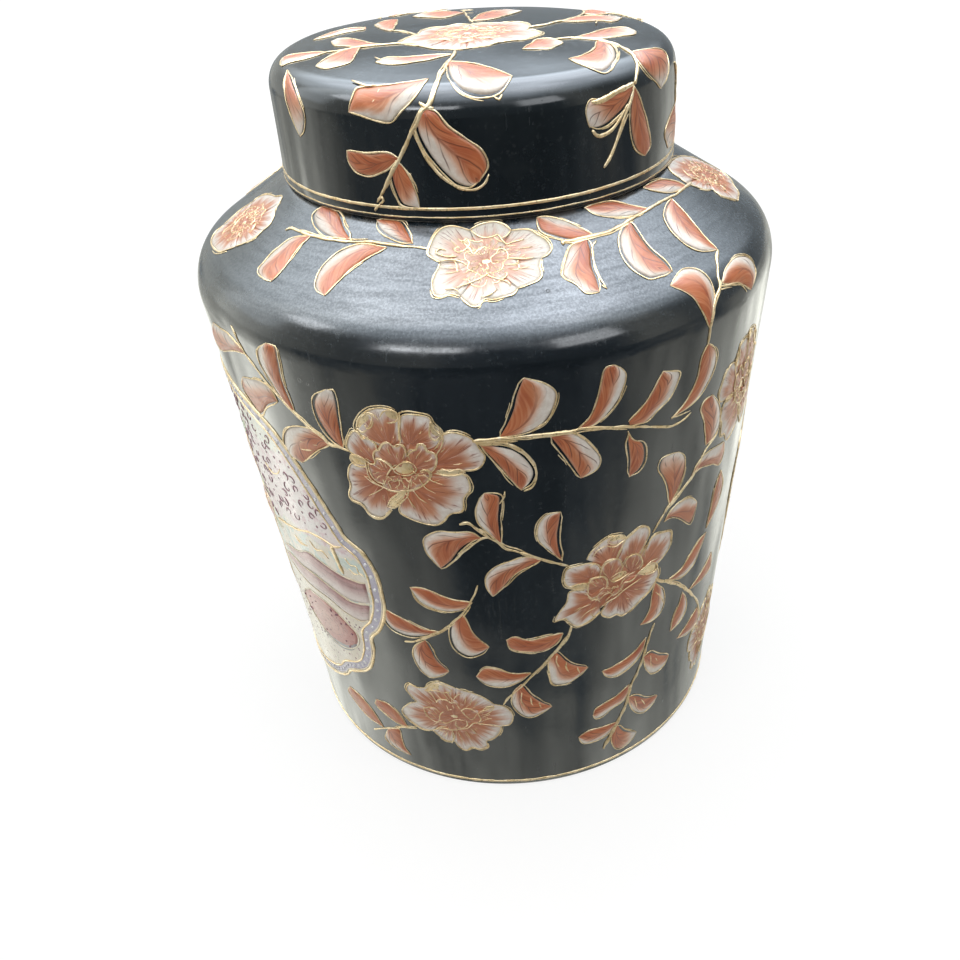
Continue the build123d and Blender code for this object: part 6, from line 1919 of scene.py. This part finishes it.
    # cloud scrolls and dots in the blush sky
    keep_out = [(-78.0, 132.0, 17.0), (-95.5, 112.0, 14.0), (-70.5, 111.5, 11.0)]
    inner = [tuple(p) for p in inset(6.3)]
    count = 0
    for gx in np.arange(-110, -30, 3.05):
        for gy in np.arange(116, 164, 4.3):
            p = (gx + shift + rng.uniform(-0.8, 0.8), gy + rng.uniform(-1.2, 1.2))
            lx = p[0] - shift
            if not inside(inner, p):
                continue
            if any(math.hypot((lx - a) * DEG, p[1] - b) < r for a, b, r in keep_out):
                continue
            if lx > -61 and p[1] < 122.5 + 0.1 * (lx + 50):
                continue
            if rng.uniform() < 0.66:
                a0, sgn, R = rng.uniform(0, 6.28), rng.choice([-1, 1]), rng.uniform(1.15, 1.75)
                P = []
                for u in np.linspace(0, 1, 7):
                    a = a0 + sgn * u * 4.2
                    q = R * (1 - 0.45 * u)
                    P.append((p[0] + q * math.cos(a) / DEG, p[1] + q * math.sin(a)))
                tail = (P[0][0] + sgn * 1.3 * math.sin(a0) / DEG, P[0][1] - sgn * 1.3 * math.cos(a0))
                bead(plum, "b", [tail] + P, 0.34, 0.22, rng, h=0.14, wob=0.06, step=0.6)
            else:
                dot(plum, "b", p, 0.42 + 0.3 * rng.uniform(), 0.2, count)
            count += 1
    # dots in the cream foreground
    lobes = [lobe, lobe2]
    for _ in range(420):
        p = (rng.uniform(-108, -32) + shift, rng.uniform(38, 88))
        if not inside(inner, p) or any(inside(q, p) for q in lobes):
            continue
        if p[0] - shift > -66 and p[1] > 84:
            continue
        if p[0] - shift < -74 and p[1] > 70:
            continue
        if rng.uniform() < 0.55:
            dot(plum, "b", p, 0.32 + 0.22 * rng.uniform(), 0.16, _)
    # divider, gold bar and small gold scrolls in the turquoise middle
    bead(gold, "b", S([(-62, 112), (-56, 115.2), (-51.6, 117.0), (-45.8, 120.2), (-41.9, 120.4), (-38.3, 119.4), (-36.2, 120.6)]), 0.5, 0.4, rng, h=0.16, wob=0.15)
    bead(gold, "b", S([(-39.3, 119.0), (-38.6, 113.5), (-37.8, 107.6)]), 1.15, 0.85, rng, h=0.14, wob=0.1, flat=0.4)
    for P in ([(-36.0, 116), (-34.9, 113.4), (-33.4, 113.8), (-33.0, 111.2), (-31.6, 110.2)], [(-35.6, 111.5), (-34.6, 109.8), (-33.2, 110.2)],
              [(-47, 115.6), (-45.2, 113.0), (-43.0, 114.0), (-41.4, 111.6)], [(-53.5, 112.4), (-51, 110.6), (-48.6, 111.8)],
              [(-57.5, 141), (-55, 138.4), (-52, 140.4), (-50.2, 143.4)]):
        bead(gold, "b", S(P), 0.34, 0.26, rng, h=0.14, wob=0.12)
    to_mesh(tag + "_gilding", gold, [M_GOLD], "jar")
    to_mesh(tag + "_cream_lines", lines, [M_CREAM], "jar")
    to_mesh(tag + "_plum_scrolls", plum, [M_PLUM], "jar")
    to_mesh(tag + "_mauve_rocks", mauve, [M_MAUVE], "jar")
    both = Acc()
    for src in (brick,):
        both = src
    to_mesh(tag + "_brick_rocks", both, [M_BRICK], "jar")
    to_mesh(tag + "_rock_shade", shade, [M_SHADE], "jar")
    to_mesh(tag + "_green_leaves", green, [M_GREEN], "jar")
    to_mesh(tag + "_blossoms", rose, [M_ROSE], "jar")


cartouche("panel_left", 0.0, 71)
cartouche("panel_back", 180.0, 72)

# ---------------------------------------------------------------------------
# Floor, light and camera
# ---------------------------------------------------------------------------
def ramp(k, x, stops):
    """Greys placed along the azimuth, in degrees, joined smoothly."""
    n = k.t.nodes.new("ShaderNodeValToRGB")
    n.color_ramp.interpolation = "EASE"
    k.put(n.inputs[0], k.m("ADD", k.m("MULTIPLY", x, 0.5 / math.pi), 0.5))
    els = n.color_ramp.elements
    for i, (a, v) in enumerate(stops):
        e = els[0] if i == 0 else els[-1] if i == len(stops) - 1 else els.new(0.5 + a / 360.0)
        e.color = (v, v, v, 1.0)
    return n.outputs[0]


def tint(k, grey, colour):
    return k.mix(1.0, grey, colour, mode="MULTIPLY")


# azimuth in degrees (0 = toward the camera, + = to its right) and brightness
ROOM_LEVEL = [(-180, 0.34), (-150, 0.70), (-127, 1.0), (-119, 2.1), (-98, 1.7), (-84, 0.82), (-62, 0.50), (-56, 0.42),
              (-26, 0.50), (-14, 0.26), (8, 0.15), (44, 0.14), (52, 0.40), (60, 0.85), (70, 0.80), (80, 0.42),
              (110, 0.34), (150, 0.34), (180, 0.34)]
FLOOR_LEVEL = [(-180, 0.70), (-145, 1.0), (-127, 1.3), (-118, 3.0), (-99, 2.5), (-84, 1.05), (-66, 0.60), (-60, 0.46),
               (-36, 0.42), (-28, 0.23), (-8, 0.16), (14, 0.15), (30, 0.14), (40, 0.24), (52, 0.36), (62, 0.52),
               (76, 0.78), (92, 0.62), (112, 1.15), (126, 1.75), (150, 1.3), (180, 0.4)]
FLOOR_NEAR = [(-180, 0.70), (-120, 1.4), (-80, 1.55), (-62, 1.05), (-50, 0.80), (-34, 0.46), (-22, 0.13), (16, 0.12),
              (24, 0.18), (36, 0.36), (48, 0.58), (66, 0.80), (84, 0.72), (105, 0.62), (180, 0.7)]

scene = bpy.context.scene
k = Nodes("pale_floor")
lp = k.t.nodes.new("ShaderNodeLightPath")
geo = k.xyz()
pale = k.mix(k.noise(3.0, 3, 0.5), (0.80, 0.80, 0.79), (0.83, 0.83, 0.82))
bounce = k.mix(lp.outputs["Is Diffuse Ray"], pale, (0.42, 0.42, 0.41))
k.set(Base_Color=bounce, Roughness=0.9, Normal=k.bump(k.noise(350.0, 3), 0.0001, 0.3))
me = bpy.data.meshes.new("floor")
R = 4.0
flat = k.t.nodes.new("ShaderNodeEmission")
flat.inputs[0].default_value = (1.0, 1.0, 0.997, 1.0)
flat.inputs[1].default_value = 1.10
blend = k.t.nodes.new("ShaderNodeMixShader")
away = k.m("SQRT", k.m("ADD", k.m("MULTIPLY", geo[0], geo[0]), k.m("MULTIPLY", geo[1], geo[1])))
k.t.links.new(k.m("MULTIPLY", lp.outputs["Is Camera Ray"], k.step(away, 0.25, 1.1, 0.74, 1.0)), blend.inputs[0])
k.t.links.new(k.bsdf.outputs[0], blend.inputs[1])
k.t.links.new(flat.outputs[0], blend.inputs[2])
# the floor glows for glossy rays only, with a painted reflection of the room below the horizon for the dark glaze to
# mirror: a pale table close by, then a dim foreground in the middle with brighter surroundings to both sides
way = k.xyz(k.t.nodes.new("ShaderNodeNewGeometry").outputs["Incoming"])
toward = k.m("ARCTAN2", k.m("MULTIPLY", way[0], -1.0), way[1])
down = k.m("ARCSINE", way[2])
ways = k.t.nodes.new("ShaderNodeNewGeometry").outputs["Incoming"]
level = k.mix(k.step(down, 0.60, 0.74), ramp(k, toward, FLOOR_LEVEL), ramp(k, toward, FLOOR_NEAR))
level = k.mix(k.step(down, 0.84, 0.95), level, (0.92, 0.92, 0.92))
dimmer = k.step(down, 0.12, 0.46, 0.50, 1.0)
cloudy = k.m("MULTIPLY", dimmer, k.step(k.noise(4.6, 5, 0.66, ways), 0.30, 0.70, 0.42, 1.62))
level = k.mix(1.0, level, k.vec(cloudy, cloudy, cloudy), mode="MULTIPLY")
mirrored = k.mix(1.0, level, k.mix(k.step(level, 0.12, 0.60), (0.84, 1.0, 1.16), (1.0, 1.01, 0.92)), mode="MULTIPLY")
seen = k.t.nodes.new("ShaderNodeEmission")
k.put(seen.inputs[0], mirrored)
pick = k.t.nodes.new("ShaderNodeMixShader")
k.t.links.new(lp.outputs["Is Glossy Ray"], pick.inputs[0])
k.t.links.new(blend.outputs[0], pick.inputs[1])
k.t.links.new(seen.outputs[0], pick.inputs[2])
k.t.links.new(pick.outputs[0], k.out.inputs[0])
ring = [(R * math.cos(a), R * math.sin(a), 0.0) for a in np.linspace(0, 2 * math.pi, 96, endpoint=False)]
me.from_pydata(ring, [], [list(range(96))])
me.materials.append(k.mat)
floor = bpy.data.objects.new("floor", me)
floor.location.z = cad_lo.z
scene.collection.objects.link(floor)

world = bpy.data.worlds.new("studio")
scene.world = world
world.use_nodes = True
if hasattr(world, "cycles"):
    world.cycles.sampling_method = "NONE"
wt = world.node_tree
wt.nodes.clear()
wo = wt.nodes.new("ShaderNodeOutputWorld")


class W(Nodes):
    def __init__(self, tree):
        self.t = tree
        self.coord = tree.nodes.new("ShaderNodeTexCoord").outputs["Generated"]


w = W(wt)
dx, dy, dz = w.xyz()
elev = w.m("ARCSINE", dz, clamp=False)
azim = w.m("ARCTAN2", dx, w.m("MULTIPLY", dy, -1.0))


def window(a0, a1, e0, e1, soft=0.10):
    """A soft-edged bright panel between two azimuths and elevations."""
    f = w.m("MULTIPLY", w.step(azim, a0 - soft, a0 + soft), w.step(azim, a1 + soft, a1 - soft))
    g = w.m("MULTIPLY", w.step(elev, e0 - soft, e0 + soft), w.step(elev, e1 + soft, e1 - soft))
    return w.m("MULTIPLY", f, g)


def glow(c, inner, outer):
    """How far a direction lies inside a soft round patch of light."""
    n = wt.nodes.new("ShaderNodeVectorMath")
    n.operation = "DOT_PRODUCT"
    w.put(n.inputs[0], w.coord)
    n.inputs[1].default_value = Vector(c).normalized()
    return w.step(n.outputs["Value"], math.cos(outer), math.cos(inner))


# how bright the room is around the horizon, and the wide bright sky over it
room = ramp(w, azim, ROOM_LEVEL)
room = w.mix(1.0, room, w.mix(w.step(room, 0.12, 0.60), (0.86, 1.0, 1.14), (1.0, 1.02, 0.95)), mode="MULTIPLY")
room = w.mix(w.m("MULTIPLY", window(-2.15, -1.62, 0.22, 0.62, 0.07), 0.72), room, (3.0, 3.25, 3.4))
room = w.mix(w.m("MULTIPLY", window(-0.9, 0.9, 0.58, 1.1, 0.12), 0.6), room, (1.5, 1.6, 1.7))
for a0, a1, e0, e1, v in ((-0.80, -0.22, 0.48, 0.66, 7.6), (-0.74, -0.58, 0.49, 0.57, 17.0), (-1.78, -1.42, 0.62, 0.82, 7.5),
                          (0.44, 0.90, 0.38, 0.70, 4.8)):
    room = w.mix(window(a0, a1, e0, e1, 0.03), room, (v, v * 1.04, v * 1.08))
n = wt.nodes.new("ShaderNodeVectorMath")
n.operation = "DOT_PRODUCT"
w.put(n.inputs[0], w.coord)
n.inputs[1].default_value = Vector((0.03, 0.28, 0.96)).normalized()
sky = w.m("POWER", w.step(n.outputs["Value"], 0.42, 1.15), 1.2)
sky = w.m("MULTIPLY", sky, w.step(w.noise(2.6, 3, 0.55), 0.30, 0.70, 0.70, 1.18))
room = w.mix(1.0, room, w.mix(1.0, w.mix(w.step(sky, 0.1, 0.7), (10.4, 11.8, 13.2), (11.0, 12.0, 13.4)), w.vec(sky, sky, sky), mode="MULTIPLY"), mode="ADD")
bg_soft = wt.nodes.new("ShaderNodeBackground")
bg_soft.inputs[0].default_value = (0.97, 0.985, 1.0, 1)
bg_soft.inputs[1].default_value = 0.22
lpg = wt.nodes.new("ShaderNodeLightPath")
bg_glossy = wt.nodes.new("ShaderNodeBackground")
wt.links.new(room, bg_glossy.inputs[0])
bg_room = wt.nodes.new("ShaderNodeMixShader")
wt.links.new(lpg.outputs["Is Glossy Ray"], bg_room.inputs[0])
wt.links.new(bg_soft.outputs[0], bg_room.inputs[1])
wt.links.new(bg_glossy.outputs[0], bg_room.inputs[2])
bg_cam = wt.nodes.new("ShaderNodeBackground")
bg_cam.inputs[0].default_value = (1.0, 1.0, 1.0, 1)
lpw = wt.nodes.new("ShaderNodeLightPath")
mixw = wt.nodes.new("ShaderNodeMixShader")
wt.links.new(lpw.outputs["Is Camera Ray"], mixw.inputs[0])
wt.links.new(bg_room.outputs[0], mixw.inputs[1])
wt.links.new(bg_cam.outputs[0], mixw.inputs[2])
wt.links.new(mixw.outputs[0], wo.inputs[0])


def softbox(name, loc, target, size, power, colour, spec=True):
    d = bpy.data.lights.new(name, "AREA")
    d.shape = "RECTANGLE"
    d.size, d.size_y = size
    d.energy = power
    d.color = colour
    o = bpy.data.objects.new(name, d)
    o.location = loc
    o.rotation_mode = "QUATERNION"
    o.rotation_quaternion = (Vector(target) - Vector(loc)).to_track_quat("-Z", "Y")
    scene.collection.objects.link(o)
    o.visible_glossy = spec
    return o


aim = (0, 0, 0.13)
softbox("key", (-0.75, -1.05, 1.25), aim, (0.9, 0.7), 6.5, (1.0, 0.985, 0.96), spec=False)
softbox("fill", (1.1, -0.8, 0.9), aim, (1.0, 1.0), 3.0, (0.96, 0.98, 1.0), spec=False)
softbox("top", (0.0, 0.1, 1.5), aim, (1.2, 1.2), 16.5, (0.97, 0.985, 1.0), spec=False)

# The photograph's viewpoint: close above the jar, looking down, with the
# frame's centre off the lens axis. The lens shift is held by a driver that
# lets go when the camera is moved to any other place.
cd = bpy.data.cameras.new("camera")
cam = bpy.data.objects.new("camera", cd)
scene.collection.objects.link(cam)
cam_at = Vector((0.0, -320.647, 303.766)) * MM
psi, pit, rol = 0.02843, 0.74988, -0.05349
fw = Vector((math.sin(psi) * math.cos(pit), math.cos(psi) * math.cos(pit), -math.sin(pit)))
right = fw.cross(Vector((0, 0, 1))).normalized()
up = right.cross(fw)
r2 = math.cos(rol) * right + math.sin(rol) * up
u2 = -math.sin(rol) * right + math.cos(rol) * up
rot = Matrix((r2, u2, -fw)).transposed()
cam.rotation_mode = "QUATERNION"
cam.location = cam_at
cam.rotation_quaternion = rot.to_quaternion()
cd.sensor_width = 36.0
cd.lens = 888.88065 / 960 * 36.0
cd.clip_start, cd.clip_end = 0.01, 50.0
SHIFT = ((480 - 532.27696) / 960, (627.82939 - 480) / 960)
for prop, value in zip(("shift_x", "shift_y"), SHIFT):
    drv = cd.driver_add(prop).driver
    drv.type = "SCRIPTED"
    for vn, axis in (("x", "LOC_X"), ("y", "LOC_Y"), ("z", "LOC_Z")):
        v = drv.variables.new()
        v.name = vn
        v.type = "TRANSFORMS"
        v.targets[0].id = cam
        v.targets[0].transform_type = axis
        v.targets[0].transform_space = "WORLD_SPACE"
    drv.expression = "%.6f if abs(x - %.5f) < 0.002 and abs(y - %.5f) < 0.002 and abs(z - %.5f) < 0.002 else 0.0" % (
        value, cam_at.x, cam_at.y, cam_at.z)
scene.camera = cam

scene.view_settings.view_transform = "Standard"
scene.view_settings.look = "None"
scene.view_settings.exposure = 0.0
scene.view_settings.gamma = 1.0
